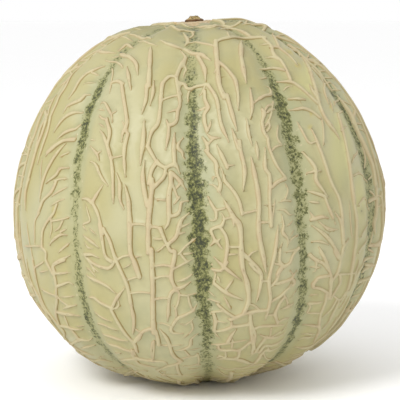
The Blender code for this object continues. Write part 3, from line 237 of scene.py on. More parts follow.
MIDDLE_CORDS = (
    # Round the stem
    ((160, 24.6), (176.8, 24.6), (185.5, 26.4), (191.6, 28.5)),
    ((165, 28.5), (176.8, 29.5), (184.5, 31), (192.6, 32.5)),
    ((195.7, 27.4), (203.9, 27), (213, 26.2), (221.2, 25.4), (230.4, 26.4), (240, 22.4), (248, 20.5)),
    ((221.2, 29.5), (230, 30), (240, 31.5), (252, 37)),
    # Beside the middle suture, left
    ((180, 100), (180, 106), (178, 111), (177, 120), (174, 124), (170, 125.5)),
    ((178, 82.5), (180.5, 84), (179, 89), (180.5, 94)),
    ((181, 83.5), (185, 85), (186, 88), (190, 89.5), (196, 87), (205, 85)),
    ((183, 138), (179, 143), (178, 148), (182, 152), (183, 157), (184.5, 159)),
    ((188, 201), (182, 202), (180.5, 207), (179.5, 212), (176, 215), (172, 216)),
    ((177, 281.5), (185, 279), (190, 276), (191.5, 274.5)),
    ((176, 289), (181, 287.5), (185, 285.5), (190.5, 281.5)),
    ((176, 289), (171, 293), (169, 301), (168.5, 311), (167.5, 321.5)),
    ((193, 310.5), (185, 315), (178, 318), (173.5, 324), (171, 328.5), (173, 332.5), (183, 333.5)),
    ((197.5, 333.5), (191.5, 338.5), (190, 345.5), (183, 349), (176, 350.5)),
    ((177, 364), (178, 370), (181, 375)),
    ((158, 369.5), (167, 366), (176, 364), (181, 361)),
    # Beside the middle suture, right
    ((204.5, 92), (205, 100), (208, 108), (204.5, 114), (204.5, 122), (207, 130.5)),
    ((207, 134), (212, 138), (220.5, 138)),
    ((202.5, 137), (206, 142.5), (208, 149.5)),
    ((206, 151), (211, 157), (216, 163), (217, 173.5), (220.5, 183), (219.5, 190)),
    ((220.5, 167.5), (223, 173.5), (225, 181), (231, 188), (236, 195), (239.5, 202.5), (242, 213.5)),
    ((208, 196.5), (212, 205), (216, 212), (215.5, 219.5), (210.5, 220.5)),
    ((221.5, 213), (224, 219), (221.5, 225.5), (215.5, 227.5), (211, 230.5), (214.5, 239)),
    ((220.5, 227.5), (225.5, 235), (227.5, 244.5), (226.5, 254.5), (225, 263)),
    ((210.5, 245.5), (215.5, 241), (219.5, 245.5), (222, 248.5)),
    ((213, 269.5), (219, 270.5), (222, 269.5), (226.5, 262.5)),
    ((218, 304.5), (225, 311), (233.5, 316.5)),
    ((214, 314.5), (215.5, 320.5), (214.5, 330), (216.5, 331), (226.5, 329), (232.5, 326)),
    ((227.5, 318), (231.5, 321.5), (232.5, 326), (249, 324)),
    ((236, 329), (231.5, 335), (228, 341)),
    ((212, 344.5), (218, 344.5), (219.5, 349), (231, 349.5), (239.5, 349.5), (249.5, 342)),
    ((239.5, 349.5), (238.5, 355.5), (235, 358)),
    ((217, 359), (225.5, 358), (239.5, 359), (249.5, 362.5)),
    # Beside the suture on the left
    ((56.5, 182), (54.5, 187), (51, 193), (44, 200), (41.5, 206), (39, 212.5)),
    ((57, 205), (54.5, 212.5), (50, 218.5), (46, 224.5), (43, 232), (42.5, 247)),
    ((67, 235), (60.5, 235), (52.5, 241), (50, 245)),
    ((70, 255.5), (61.5, 259.5), (54.5, 264), (54.5, 268), (55.5, 272.5)),
    ((42.5, 247.5), (46.5, 252), (46.5, 259.5), (50, 267), (53, 273)),
    ((90.5, 146), (97, 154), (99, 160.5)),
    ((90.5, 161.5), (95.5, 164), (99, 171.5), (103, 179.5), (108, 185.5)),
    ((103, 185.5), (98, 193), (92.5, 202.5)),
    ((82, 199), (87, 199), (92.5, 203), (97, 211), (99.5, 218.5), (101.5, 228), (103, 233)),
    ((83.5, 235), (91, 241), (99, 247.5)),
    ((85, 254.5), (92, 254.5), (99, 258)),
    ((88.5, 259), (96.5, 265), (106.5, 268), (111.5, 266.5), (114.5, 261.5)),
    # Beside the suture on the right
    ((268, 142.5), (269.5, 149.5), (276.5, 165.5), (285, 177.5)),
    ((272, 187), (277.5, 182), (285, 178.5)),
    ((281.5, 214.5), (283.5, 225.5), (282.5, 232.5), (287.5, 238.5), (287.5, 247)),
    ((298, 248.5), (293, 254.5), (289.5, 263), (281, 268), (277.5, 273.5)),
    ((306.5, 173.5), (314, 171.5), (321, 171)),
    ((307.5, 191.5), (315, 193), (324.5, 196.5)),
    ((309, 201.5), (319, 203)),
    ((325, 198), (328.5, 207.5), (333, 218.5), (335.5, 224.5)),
    ((311.5, 219.5), (321, 217), (328.5, 218)),
    ((319, 222), (328, 229), (338, 229.5)),
    ((311.5, 241.5), (320, 241.5), (328.5, 244.5)),
    ((348.5, 238.5), (343, 247), (340.5, 259), (337, 273.5)),
    ((334.5, 212), (340, 221), (341.5, 230.5), (342.5, 242.5)),
    # Upper left
    ((89.5, 59.5), (96.5, 55), (102.5, 52.5), (109.5, 52), (116, 53)),
    ((69, 99), (74.5, 91), (80.5, 80.5), (86.5, 74.5), (91.5, 71.5), (98.5, 68.5), (104.5, 66.5)),
    ((64, 113), (67.5, 107), (72.5, 104), (79.5, 101), (84, 97), (85.5, 95), (90.5, 95)),
    ((57.5, 139.5), (63, 134.5), (70, 130.5), (76, 129), (81, 125)),
    ((48, 152.5), (54.5, 146.5), (61.5, 142), (68.5, 140), (74.5, 139)),
    ((36, 154), (38.5, 139.5), (42.5, 126), (48, 116.5), (49.5, 110.5), (53, 102), (56.5, 94.5)),
    ((51, 117.5), (56.5, 105.5), (60, 97), (66, 87.5), (71, 77.5), (75, 70.5), (83, 64.5)),
    ((59, 81.5), (65, 75.5), (72.5, 68), (76, 64.5)),
    ((112, 83), (118, 81.5), (123, 84)),
    ((101.5, 103), (105, 103), (108.5, 109), (112, 116.5), (112.5, 122.5)),
    ((124, 55), (129, 57), (133.5, 61)),
    ((117, 47.5), (124, 46.5), (128, 45), (133.5, 48.5)),
    # Upper right
    ((260, 35.5), (265, 40.5), (271, 46.5), (272.5, 52.5), (275.5, 57), (280.5, 61), (285, 68), (290, 80)),
    ((274, 31), (274, 37), (278.5, 47.5)),
    ((271, 47.5), (278, 48), (283, 51.5), (290, 57), (297.5, 65.5)),
    ((260, 69.5), (265, 69.5), (273, 68.5), (284, 70.5)),
    ((290, 42), (293.5, 47.5), (297, 53.5), (300, 57.5)),
    ((309.5, 85), (313, 92.5), (319, 101)),
    ((312, 68.5), (315.5, 73), (321.5, 80), (324, 87.5), (325, 95), (328.5, 104)),
    ((288, 99.5), (297, 99), (305.5, 100)),
    ((289, 110.5), (297, 109.5), (303.5, 108.5), (311.5, 111.5), (319, 117.5)),
    ((260, 98.5), (264.5, 96), (270.5, 94.5), (269.5, 88.5), (266, 86.5)),
    ((262.5, 110.5), (264.5, 114), (262, 122.5), (264, 133), (267.5, 138), (268.5, 146.5)),
    # Lower left
    ((27, 260), (29.5, 273), (33, 284), (39.5, 296), (45.5, 308), (54, 319)),
    ((33.5, 260), (35.5, 271), (38, 284), (40.5, 294), (45.5, 306), (52.5, 316.5), (58.5, 324)),
    ((64.5, 260), (58.5, 262.5), (53.5, 266), (54, 271), (56, 281.5), (57, 294), (57.5, 301), (56.5, 308.5),
     (57, 315.5), (59.5, 323)),
    ((57.5, 286), (63.5, 284), (69.5, 282), (73, 284.5)),
    ((63.5, 308.5), (68.5, 306.5), (76.5, 305)),
    ((57, 311.5), (64.5, 313.5), (73, 314.5), (80.5, 316)),
    ((57.5, 325), (66, 326), (73, 328.5), (82.5, 329)),
    ((60, 326), (64.5, 332.5), (68.5, 338.5)),
    ((71.5, 329), (76.5, 334.5), (79, 338.5)),
    ((71.5, 341), (79, 340), (88.5, 340.5), (92, 338)),
    ((81.5, 348), (87.5, 346.5), (95, 344.5)),
    ((73, 342), (80, 349), (86.5, 353), (93.5, 355)),
    ((91, 359), (99.5, 359.5), (112.5, 361.5)),
    ((86.5, 274.5), (93.5, 279), (101, 282.5), (109, 287), (115.5, 293)),
    ((113, 306), (116.5, 298.5), (121, 292.5), (124.5, 288.5)),
    ((89, 297), (94.5, 297.5), (101, 302.5), (112.5, 308)),
    ((103, 333.5), (110.5, 336), (120, 339.5), (128.5, 341)),
    ((106.5, 342), (116.5, 345.5), (124.5, 349), (131, 351)),
    ((119, 358.5), (127.5, 359), (134.5, 358.5), (143, 359.5), (151.5, 359.5)),
    ((136, 360), (139.5, 363.5), (148, 365.5), (158, 367)),
    ((134.5, 342), (139, 338), (142, 332.5), (146.5, 329.5), (151.5, 328.5)),
    # Lower right
    ((250, 263.5), (255, 269.5), (259.5, 273)),
    ((280, 250), (279.5, 261), (282.5, 266), (279, 272), (276.5, 280), (272, 285)),
    ((290, 270.5), (292.5, 274), (292, 278), (286, 281), (276.5, 283.5)),
    ((296.5, 270.5), (293.5, 275), (292.5, 279), (294.5, 282.5), (287.5, 288.5), (280, 296), (272, 300.5)),
    ((284, 297), (280, 302), (276.5, 309), (275, 314), (277.5, 322.5)),
    ((281, 309), (287, 306.5), (293.5, 303)),
    ((250, 313), (258.5, 310.5), (266, 310.5)),
    ((255, 328), (261, 326), (271.5, 325.5), (283.5, 324.5)),
    ((250, 316.5), (251.5, 325), (255, 334), (253.5, 342.5), (252, 352.5)),
    ((259.5, 334.5), (267, 337), (275.5, 337), (283.5, 333)),
    ((256, 351), (259.5, 345), (266, 337)),
    ((283.5, 338), (278, 342.5), (271.5, 345), (264.5, 345.5), (259.5, 351.5)),
    ((255, 362), (260.5, 355), (264.5, 350), (269.5, 350)),
    ((310, 255), (315, 259.5), (322.5, 263), (327, 268), (330.5, 274), (329.5, 282.5), (330.5, 291),
     (328.5, 298)),
    ((342.5, 251.5), (340.5, 258.5), (339, 267), (335.5, 275), (332, 280)),
    ((313, 283.5), (317.5, 278), (323.5, 276.5), (329.5, 275.5)),
    ((313, 283.5), (313, 287), (320, 288.5), (327, 292.5), (329.5, 295.5)),
    ((326, 294.5), (325, 301.5), (322.5, 308), (320, 315), (318.5, 325), (319, 329.5), (316.5, 335.5),
     (313, 343)),
    ((309, 303), (315, 303), (322.5, 301.5)),
    ((303, 324.5), (310, 325), (318.5, 326)),
    ((298, 339.5), (304.5, 337), (313, 336.5)),
    ((294.5, 346.5), (301.5, 347.5), (308, 346.5), (313, 344), (318.5, 339.5), (325, 334), (332, 325),
     (337, 316.5)),
    ((322.5, 316.5), (329.5, 310), (335.5, 300.5)),
    ((322.5, 328), (328.5, 321), (332, 313), (338, 301.5)),
    ((330.5, 298), (334.5, 291), (339.5, 282.5), (339.5, 275.5)),
    ((349, 290), (352.5, 282.5), (355, 273), (358.5, 261)),
    ((335.5, 320), (341.5, 311.5), (345.5, 304.5), (349, 297)),
    ((354.5, 277.5), (361, 267), (369, 255)),
)
THIN_CORDS = (
    ((122, 121), (126, 129), (128, 135)),
    ((172, 181), (174, 188), (177, 196)),
    ((196, 238), (186, 246), (179, 254)),
    ((193, 259), (183, 264), (175, 268)),
    ((155, 199), (162, 200), (168, 200)),
    ((130, 225), (138, 224), (147, 225)),
    ((150, 227), (156, 227), (161, 229)),
    ((155.5, 266), (163, 265), (171, 266)),
    ((156, 278), (163, 276), (169.5, 276.5)),
    ((132, 293), (141, 292), (150, 293)),
    ((118.5, 259), (124, 256), (129, 255.5)),
    ((124, 268), (131, 264)),
    ((127, 280), (138, 276.5)),
    ((154, 341), (154, 350), (153, 359)),
    ((151, 329), (141, 333), (134, 341)),
    ((138, 41), (148, 43), (157, 46)),
    ((262.5, 111), (262.5, 131)),
    ((262.5, 131), (270, 118), (273, 102)),
    ((275, 200), (273, 213), (271, 225.5)),
    ((224, 296), (231, 310)),
    ((297, 122), (308, 142), (315, 142)),
    ((70.6, 152), (60, 157)),
    ((68, 179), (61, 179), (54.6, 181)),
    ((68, 187), (51, 197)),
    ((188.6, 43.3), (195.7, 42.2), (203.9, 43.8), (212.6, 45.8)),
    ((192.6, 33), (193.2, 35.6), (190.1, 38.2)),
    ((184, 65.2), (186, 69.8), (184.5, 72.9), (183.5, 78)),
    ((202.8, 29), (213, 27.5), (221.2, 27.5), (231.4, 28.5), (240, 27)),
    ((226.3, 31), (228.4, 34.6), (228.9, 37.7)),
    ((217, 69), (213.6, 73.4)),
    # Beside the middle suture, left
    ((163, 100), (171, 97), (180, 95.5)),
    ((167, 113), (173, 111), (178, 109)),
    ((190, 89.5), (188, 95.5), (188, 103)),
    ((183, 179), (180, 184), (176.5, 188)),
    ((179.5, 197.5), (176, 202), (173.5, 205)),
    ((190, 223), (185, 225.5), (181, 227)),
    ((185, 232.5), (180.5, 233.5)),
    ((185, 254), (193, 253)),
    ((181, 254.5), (185.5, 260)),
    ((166, 243.5), (161.5, 248.5), (155.5, 252)),
    ((154, 239), (161.5, 239)),
    ((176, 289), (179.5, 294), (178, 303), (176, 308)),
    ((173, 305), (176, 310), (176.5, 316)),
    ((155.5, 299), (161.5, 298), (167.5, 298)),
    ((182, 295), (188, 295), (197, 293)),
    ((188, 295), (190, 304), (193, 309.5), (197, 303.5)),
    ((157.5, 323), (164, 323.5), (171, 326)),
    ((179, 323), (185, 324.5), (190, 321.5), (194, 318)),
    ((191.5, 322.5), (193, 328.5), (189, 333.5), (183, 338)),
    ((158, 344.5), (168.5, 345.5), (183, 344.5)),
    ((178, 360), (185, 357.5), (197, 355)),
    ((185, 350.5), (189, 355)),
    # Beside the middle suture, right
    ((204.5, 87), (202.5, 92), (199, 97)),
    ((197, 111), (204.5, 108)),
    ((208, 130), (210, 125.5), (211, 120)),
    ((212, 140), (208.5, 144.5), (207, 149.5)),
    ((226.5, 166), (235, 165)),
    ((213, 181), (214.5, 177), (219, 177), (219.5, 181)),
    ((209.5, 184.5), (215.5, 186.5), (222, 196.5)),
    ((216.5, 210), (224, 208.5), (231, 205)),
    ((216.5, 242), (220.5, 238.5)),
    ((228, 247), (238.5, 247)),
    ((229, 254.5), (237.5, 254)),
    ((242, 213.5), (250, 212), (257.5, 210)),
    ((233.5, 220.5), (233.5, 226.5)),
    ((249, 255.5), (253, 252), (258, 250.5)),
    ((224, 219), (231, 217.5)),
    ((212, 264), (213, 269.5), (215.5, 273), (214, 281.5)),
    ((225.5, 290), (229, 285), (233.5, 279)),
    ((218, 277), (220.5, 283)),
    ((208, 299), (219, 302)),
    ((208.5, 291), (215.5, 297)),
    ((212, 312), (221.5, 311)),
    ((215.5, 320.5), (226.5, 322.5)),
    ((214, 331), (219.5, 338)),
    ((232.5, 339.5), (231.5, 349)),
    ((219.5, 344), (232.5, 342), (248, 339.5)),
    ((225, 349.5), (225.5, 356.5), (219.5, 355.5)),
    ((254, 103), (259, 99), (264, 95.5)),
    # Beside the suture on the left
    ((64, 199), (58, 201.5), (51, 206)),
    ((51, 218.5), (52, 229), (50, 237.5)),
    ((70, 217), (61.5, 219.5), (52.5, 221)),
    ((63, 221), (59.5, 228), (54.5, 231.5)),
    ((66.5, 229), (61.5, 231.5)),
    ((70, 242.5), (63, 248.5), (58.5, 253)),
    ((42.5, 159), (41.5, 168), (41.5, 179)),
    ((97, 154), (101.5, 151)),
    ((86, 204), (88.5, 213.5), (90, 221), (83.5, 224)),
    ((83.5, 226.5), (87, 230.5)),
    ((89.5, 228), (96.5, 235)),
    ((85, 242.5), (88.5, 247.5), (93, 248.5)),
    ((86, 257), (90.5, 263), (94.5, 271)),
    ((112, 158), (122, 156)),
    ((134, 257), (141, 256.5)),
    ((24.5, 246), (39, 246), (42.5, 248.5)),
    ((39.5, 213.5), (35.5, 221), (35, 234), (35, 244.5)),
    ((31.5, 248.5), (33, 258), (35, 268), (35.5, 273.5)),
    ((35.5, 267.5), (43.5, 262)),
    ((27, 223), (28.5, 234), (30.5, 246)),
    # Beside the suture on the right
    ((271.5, 151), (275.5, 147), (281.5, 145)),
    ((285, 183.5), (287.5, 188), (287.5, 193), (285, 199)),
    ((279, 202.5), (285, 200.5), (292, 201)),
    ((277.5, 210), (284, 210), (289.5, 214.5), (293.5, 214.5)),
    ((263.5, 205), (273, 205)),
    ((261, 222), (271.5, 222.5)),
    ((293, 220.5), (287, 226.5)),
    ((298.5, 235), (293, 237.5), (288.5, 242.5)),
    ((293.5, 230.5), (290, 236.5)),
    ((284, 252), (296, 249.5)),
    ((282.5, 242.5), (279, 252), (279, 263)),
    ((273, 263), (281, 265)),
    ((309, 211), (315, 219.5)),
    ((310, 254.5), (316, 259), (324.5, 264)),
    ((309, 266.5), (321, 267.5)),
    ((349, 201.5), (350, 217), (351, 231.5), (352.5, 238.5)),
    ((351.5, 164), (354.5, 156), (357.5, 150.5)),
    ((352.5, 176), (359.5, 173.5), (364.5, 179.5), (367, 182.5)),
    ((357, 206.5), (364.5, 198), (369, 210)),
    ((357, 253.5), (363.5, 244.5), (370.5, 236.5)),
    ((360, 237.5), (364.5, 229.5), (368, 219.5)),
    # Upper left
    ((112, 68), (113, 73), (112, 80), (111, 86), (109.5, 93.5)),
    ((112, 114), (117, 111)),
    ((99, 115), (102.5, 118.5), (107, 119.5)),
    ((98.5, 109.5), (104.5, 110.5)),
    ((99, 123.5), (104.5, 127.5)),
    ((90.5, 139.5), (95, 140.5)),
    ((112, 57.5), (119, 57)),
    ((104.5, 59.5), (110.5, 62), (117, 62.5), (121.5, 65.5), (123, 68.5)),
    ((116, 40), (124, 39), (131, 37)),
    ((84, 84), (89.5, 83), (95.5, 83)),
    ((93, 73), (99, 75.5)),
    # Upper right
    ((265, 58), (273, 57.5), (277, 59.5)),
    ((312, 68), (315.5, 64), (320, 62)),
    ((324, 87.5), (325, 84), (327.5, 84)),
    ((334.5, 105.5), (335, 102), (338, 100.5)),
    ((338, 117.5), (339.5, 113), (343, 111)),
    ((283, 91), (286.5, 87.5), (291.5, 86)),
    ((321.5, 118.5), (323, 127.5), (323.5, 138), (323, 146.5)),
    ((265, 110.5), (267.5, 106.5), (273, 104)),
    ((267.5, 112.5), (271, 109.5), (274.5, 109.5)),
    ((268.5, 120), (269.5, 127.5), (264.5, 133.5)),
    ((278.5, 125), (277, 132), (277.5, 139), (280.5, 143)),
    ((260, 79), (267, 77.5)),
    ((260, 45), (267.5, 44.5)),
    ((341, 130.5), (346.5, 126)),
    ((328, 98), (331, 104), (333, 112)),
    # Lower left
    ((57, 273.5), (63.5, 273), (70.5, 272.5)),
    ((61, 297), (68, 296.5), (74.5, 296)),
    ((76.5, 326), (84, 325.5)),
    ((64.5, 315.5), (66.5, 320), (68.5, 325)),
    ((40.5, 288), (48, 292.5), (57, 296), (62, 301), (67, 304.5)),
    ((36, 266.5), (43, 262.5)),
    ((39.5, 272), (48, 270.5)),
    ((98.5, 357.5), (104.5, 355.5)),
    ((102, 365), (110, 367), (118, 366.5)),
    ((90, 260), (92.5, 266), (98.5, 272)),
    ((86.5, 267.5), (91, 270.5), (96, 277)),
    ((112.5, 308), (116.5, 308), (119, 304.5), (118.5, 301)),
    ((94.5, 311.5), (99.5, 315.5), (105.5, 319), (111.5, 321.5)),
    ((97, 323), (103, 324), (110.5, 327.5), (118.5, 330)),
    ((115, 352.5), (121.5, 352.5)),
    ((134, 350.5), (136, 355), (139.5, 358.5)),
    ((121, 361), (129.5, 363.5), (139, 367)),
    ((127.5, 369), (139.5, 370.5), (148, 370.5)),
    ((133, 373), (139.5, 375.5), (148, 375.5)),
    ((136, 329), (140.5, 332)),
    ((152.5, 342), (151.5, 349), (152, 356.5)),
    # Lower right
    ((263, 281), (268.5, 281)),
    ((274.5, 263), (279.5, 264.5), (283, 266)),
    ((296.5, 288.5), (293.5, 293.5), (291, 298)),
    ((284, 294.5), (287, 300.5), (287.5, 305.5)),
    ((266, 315), (275, 314)),
    ((278, 322), (283.5, 319), (289.5, 317.5)),
    ((250, 304), (254.5, 305.5), (258.5, 309)),
    ((287.5, 322.5), (285, 327), (279, 332), (271.5, 336.5)),
    ((271, 328), (270, 335.5)),
    ((280, 345), (275, 348.5), (269.5, 350), (268, 346.5)),
    ((250, 356), (255, 352.5), (259.5, 351.5)),
    ((263.5, 352.5), (265.5, 357.5), (270.5, 358.5), (274, 355)),
    ((320, 251.5), (323.5, 257.5), (327, 262)),
    ((334, 251.5), (337, 257), (340.5, 258.5)),
    ((316, 262), (316, 269.5), (313, 272)),
    ((309, 296), (312.5, 294.5), (318.5, 294.5)),
    ((309, 304), (310, 306.5), (307.5, 311.5)),
    ((308, 313), (314, 313), (320, 313)),
    ((301.5, 334), (308, 333.5), (315, 334)),
    ((315.5, 345), (311.5, 351), (307.5, 354.5)),
    ((333, 295.5), (339.5, 299.5), (345, 292.5), (347.5, 291)),
    ((339, 308), (344, 301.5), (346.5, 294.5)),
    ((339, 274), (354.5, 273)),
    ((262, 366), (272, 364), (281, 361)),
    ((252, 372), (264, 370), (276, 367)),
    ((228, 371), (238, 373), (249, 371)),
    ((217, 377), (229, 378), (241, 377)),
    # Along the bottom, left
    ((137, 376), (143, 378.5), (150.5, 379.5)),
    ((157.5, 370), (161, 373), (164.5, 374.5)),
    ((163.5, 374.5), (170.5, 378), (177.5, 380), (184.5, 381.5)),
    ((161, 376), (165, 372.5), (166, 371)),
    ((166, 374.5), (174, 374), (180.5, 375)),
    ((181, 365.5), (188, 366), (195, 364.5), (200, 364.5)),
    ((188, 368.5), (194, 368.5), (200, 367.5)),
    ((183.5, 375), (189.5, 374.5), (199.5, 371.5)),
    ((187.5, 377.5), (194, 376.5), (200.5, 376.5)),
    ((156.5, 376.5), (167, 380.5), (174, 382)),
    ((106, 369.5), (113, 371), (119.5, 370)),
    ((113, 373), (120, 373.5), (126.5, 373)),
    ((190, 349.5), (195.5, 349), (200, 348)),
    ((197, 353.5), (198.5, 357), (199, 361.5), (197.5, 364.5)),
    # Along the bottom, right
    ((217, 366), (227.5, 369), (235.5, 368)),
    ((217.5, 357), (220.5, 355.5), (223.5, 357), (221.5, 359)),
    ((238, 360.5), (243.5, 362), (252.5, 363)),
    ((235.5, 368), (245.5, 367), (256, 361.5), (261.5, 356.5)),
    ((217, 368), (221.5, 372.5), (229.5, 375), (235.5, 369.5)),
    ((220.5, 374), (233, 376), (247, 375), (258, 372.5)),
    ((240, 369.5), (250.5, 369), (261.5, 366)),
    ((243.5, 374), (254.5, 372), (266, 369)),
    ((252.5, 365), (260.5, 363.5), (267, 362.5)),
    ((279.5, 365), (288, 360.5), (297, 357)),
    ((288, 358.5), (297, 355.5), (305, 353.5)),
    ((291, 354.5), (299, 353.5), (305, 350), (309, 347.5)),
    ((309, 352.5), (315, 347.5), (324, 340)),
    ((284.5, 368.5), (292.5, 364.5), (301.5, 360)),
)

# Net of the rest, drawn by rule: a pair holds the ends of a draw, and angles are in degrees,
# but how far the first branch or strand lies below the highest place for one is in radians
SEED = 20
SHORTEST = 0.0045
MEETING = 0.0012
ROOM = 0.0030
WALK_STEP, WALK_FREE, WALK_WANDER = 0.001, 0.002, 4.0
WALK_HIGHEST, LEAST_LEVEL = 84, 0.08
CORD_LENGTHS = (0.5, 1.0)

# Its long upright cords
LANE_COUNT = 5
LANE_LOWEST, LANE_HIGHEST, LANE_START = -74, 72, 14
LANE_LONGEST, LANE_SHORTEST = 0.040, 0.018
LANE_BENDS = 5
LANE_OFFSET, LANE_DRIFT, LANE_WANDER = 0.2, 0.09, 0.02
LANE_GAPS = (-0.003, 0.004)
LANE_SHIFT, LANE_MARGIN = 0.05, 0.1

# Its cords round the stem
STEM_CORDS, STEM_CORD_OFFSET = 17, 0.3
STEM_CORD_START, STEM_CORD_LONGEST = 0.0085, 0.022
STEM_CORD_STARTS = (1.0, 1.3)
STEM_CORD_HEADINGS = (-125, -55)
STEM_CORD_TURN = 3
STEM_CORD_FRONT = 0.5

# Its branches beside the sutures
BRANCH_HIGHEST, BRANCH_START = 72, 0.05
BRANCH_PITCH, BRANCH_PITCHES = 0.0085, (0.75, 1.3)
BRANCH_LONGEST = 0.014
BRANCH_STARTS = (1.05, 1.5)
BRANCH_HANG, BRANCH_HANGS = 55, (-12, 18)
BRANCH_CURL, BRANCH_CURL_RISE = 2.5, 0.2

# Its rungs from cord to cord, of which only a share is kept above a level
RUNG_TRIES, RUNG_HOST = 700, 16
RUNG_LONGEST, RUNG_SLANT, RUNG_WANDER = 0.011, 28, 7.0
RUNG_LEVEL, RUNG_SHARE = 8, 0.35

# Its fine cords
FINE_SEED = 7
FINE_MEETING = 0.0008
FINE_ROOM = 0.0016
FINE_SHORTEST = 0.0022
FINE_SLANT, FINE_TURN, FINE_WANDER = 25, 4, 6.0
STEM_ARCS, STEM_ARC_OFFSET = 26, 0.4
STEM_ARC_STARTS = (0.010, 0.030)
STEM_ARC_LENGTHS = (0.006, 0.014)
TWIG_LOWEST, TWIG_HIGHEST = -76, 74
TWIG_PITCH, TWIG_PITCHES = 0.0032, (0.7, 1.4)
TWIG_LONGEST, TWIG_LENGTHS = 0.0085, (0.35, 1.0)
TWIG_STARTS = (-0.0003, 0.0008)
TWIG_HANG, TWIG_SLANT, TWIG_WANDER = 50, 35, 9.0
STRAND_LOWEST, STRAND_HIGHEST, STRAND_START = -72, 66, 0.1
STRAND_OFFSETS, STRAND_UNEVEN = (0.0016, 0.0048), 0.0008
STRAND_SHORTEST, STRAND_LONGEST, STRAND_WANDER = 0.004, 0.012, 16.0
STRAND_GAPS = (0.0, 0.004)
STRAND_SHARE_BELOW, STRAND_SHARE_ABOVE = 0.9, 0.5
FINE_RUNG_TRIES, FINE_RUNG_HOST = 1500, 12
FINE_RUNG_LONGEST, FINE_RUNG_ROOM = 0.0085, 1.3
FINE_RUNG_LEVEL, FINE_RUNG_SHARE = 5, 0.12

# Green of the sutures: latitude in degrees, half width, and how dark and dense its specks are
VEINS = (
    ((-70, 0.0012, 0.15), (-20, 0.0016, 0.45), (10, 0.0020, 0.75), (35, 0.0018, 0.7), (75, 0.0012, 0.2)),
    ((-60, 0.0014, 0.25), (-25, 0.0020, 0.60), (-6, 0.0018, 0.32), (8, 0.0018, 0.34), (20, 0.0020, 0.50),
     (30, 0.0020, 0.75), (44, 0.0019, 0.85), (52, 0.0015, 0.35), (78, 0.0014, 0.4)),
    ((-62, 0.0015, 0.25), (-45, 0.0020, 0.50), (-30, 0.0022, 0.75), (-12, 0.0027, 0.92), (3, 0.0031, 1.0),
     (20, 0.0028, 0.95), (32, 0.0021, 0.8), (42, 0.0018, 0.5), (50, 0.0020, 0.28), (75, 0.0020, 0.25)),
    ((-60, 0.0015, 0.3), (-35, 0.0019, 0.75), (-10, 0.0020, 0.6), (5, 0.0024, 0.55), (20, 0.0027, 0.55),
     (36, 0.0024, 0.8), (46, 0.0018, 0.5), (58, 0.0014, 0.3), (75, 0.0012, 0.3)),
    ((-60, 0.0014, 0.2), (-20, 0.0022, 0.45), (5, 0.0027, 0.5), (30, 0.0026, 0.6), (50, 0.0021, 0.55),
     (75, 0.0014, 0.3)),
    ((-65, 0.0014, 0.2), (-30, 0.0022, 0.8), (0, 0.0026, 0.9), (30, 0.0022, 0.8), (75, 0.0012, 0.2)),
    ((-65, 0.0014, 0.2), (-30, 0.0020, 0.6), (5, 0.0022, 0.5), (35, 0.0024, 0.9), (75, 0.0012, 0.3)),
    ((-65, 0.0014, 0.3), (-25, 0.0026, 0.9), (10, 0.0028, 1.0), (40, 0.0020, 0.7), (75, 0.0014, 0.3)),
    ((-65, 0.0014, 0.2), (-30, 0.0018, 0.5), (0, 0.0020, 0.7), (35, 0.0022, 0.8), (75, 0.0012, 0.3)),
    ((-65, 0.0014, 0.3), (-30, 0.0022, 0.8), (0, 0.0022, 0.8), (30, 0.0020, 0.6), (75, 0.0012, 0.2)),
)
NO_GREEN = 10.0

# The suture whose green isn't in the middle of its groove, and how far to the right of it that is
GREEN_SHIFTS = {4: 0.0018}

# Marks on the rind, read off as x, y, half width and half height in pixels of the front view.
# They are dark pits, yellow flecks, and wide strips down the right side that are yellower rind with painted
# light over it.
PITS = (
    (196.8, 30.6, 2.6, 1.3),
    (181.9, 33.8, 0.8, 0.8),
    (187.6, 35.2, 1.2, 1.0),
    (189.0, 30.0, 1.0, 0.6),
    (189.2, 32.5, 1.3, 0.5),
    (185.0, 28.6, 1.0, 0.5),
    (197.0, 37.7, 0.8, 1.7),
    (192.1, 39.7, 1.2, 0.9),
    (199.5, 40.2, 0.7, 0.9),
    (184.7, 42.5, 0.9, 1.2),
    (196.2, 45.0, 0.6, 1.8),
    (194.4, 72.6, 1.0, 2.6),
    (185.6, 80.2, 1.2, 0.9),
    (227.9, 27.0, 1.6, 0.6),
    (219.4, 28.8, 1.6, 0.6),
    (121.0, 52.5, 1.6, 1.4),
    (361.7, 211.0, 0.9, 1.0),
)
YELLOWS = (
    (297.5, 65.0, 3.5, 2.0),
    (316.5, 100.0, 2.0, 3.5),
    (336.0, 130.5, 2.0, 2.0),
    (288.5, 52.0, 4.0, 3.0),
    (331.0, 107.0, 2.0, 4.0),
    (311.0, 113.0, 2.5, 3.5),
    (309.5, 129.0, 1.8, 3.0),
    (54.5, 211.0, 2.0, 7.0),
    (56.0, 292.0, 1.6, 4.0),
)
# Lighter strips down the right side: painted light over yellower rind
PAINTED_LIGHT_STRIPS = (
    (341.0, 145.0, 13.0, 46.0),
    (307.0, 80.0, 12.0, 20.0),
    (360.0, 195.0, 7.0, 30.0),
)
MARK_CORE, MARK_FADE = 0.3, 1.0

# Cork round the stem: how far it spreads, and how far its tongue reaches to the front
SKIRT_RADIUS, SKIRT_FADE = 0.0085, 0.003
TONGUE_REACH, TONGUE_SPREAD = 0.0048, math.radians(16)

# Olive rind round the stem, and pale rind underneath that is partly a ground spot and partly painted light
# over the shaded underside: how far each reaches, and the width of its fade
CROWN_REACH, BELLY_LIGHT_REACH, END_FADE = 0.012, 0.022, 0.030

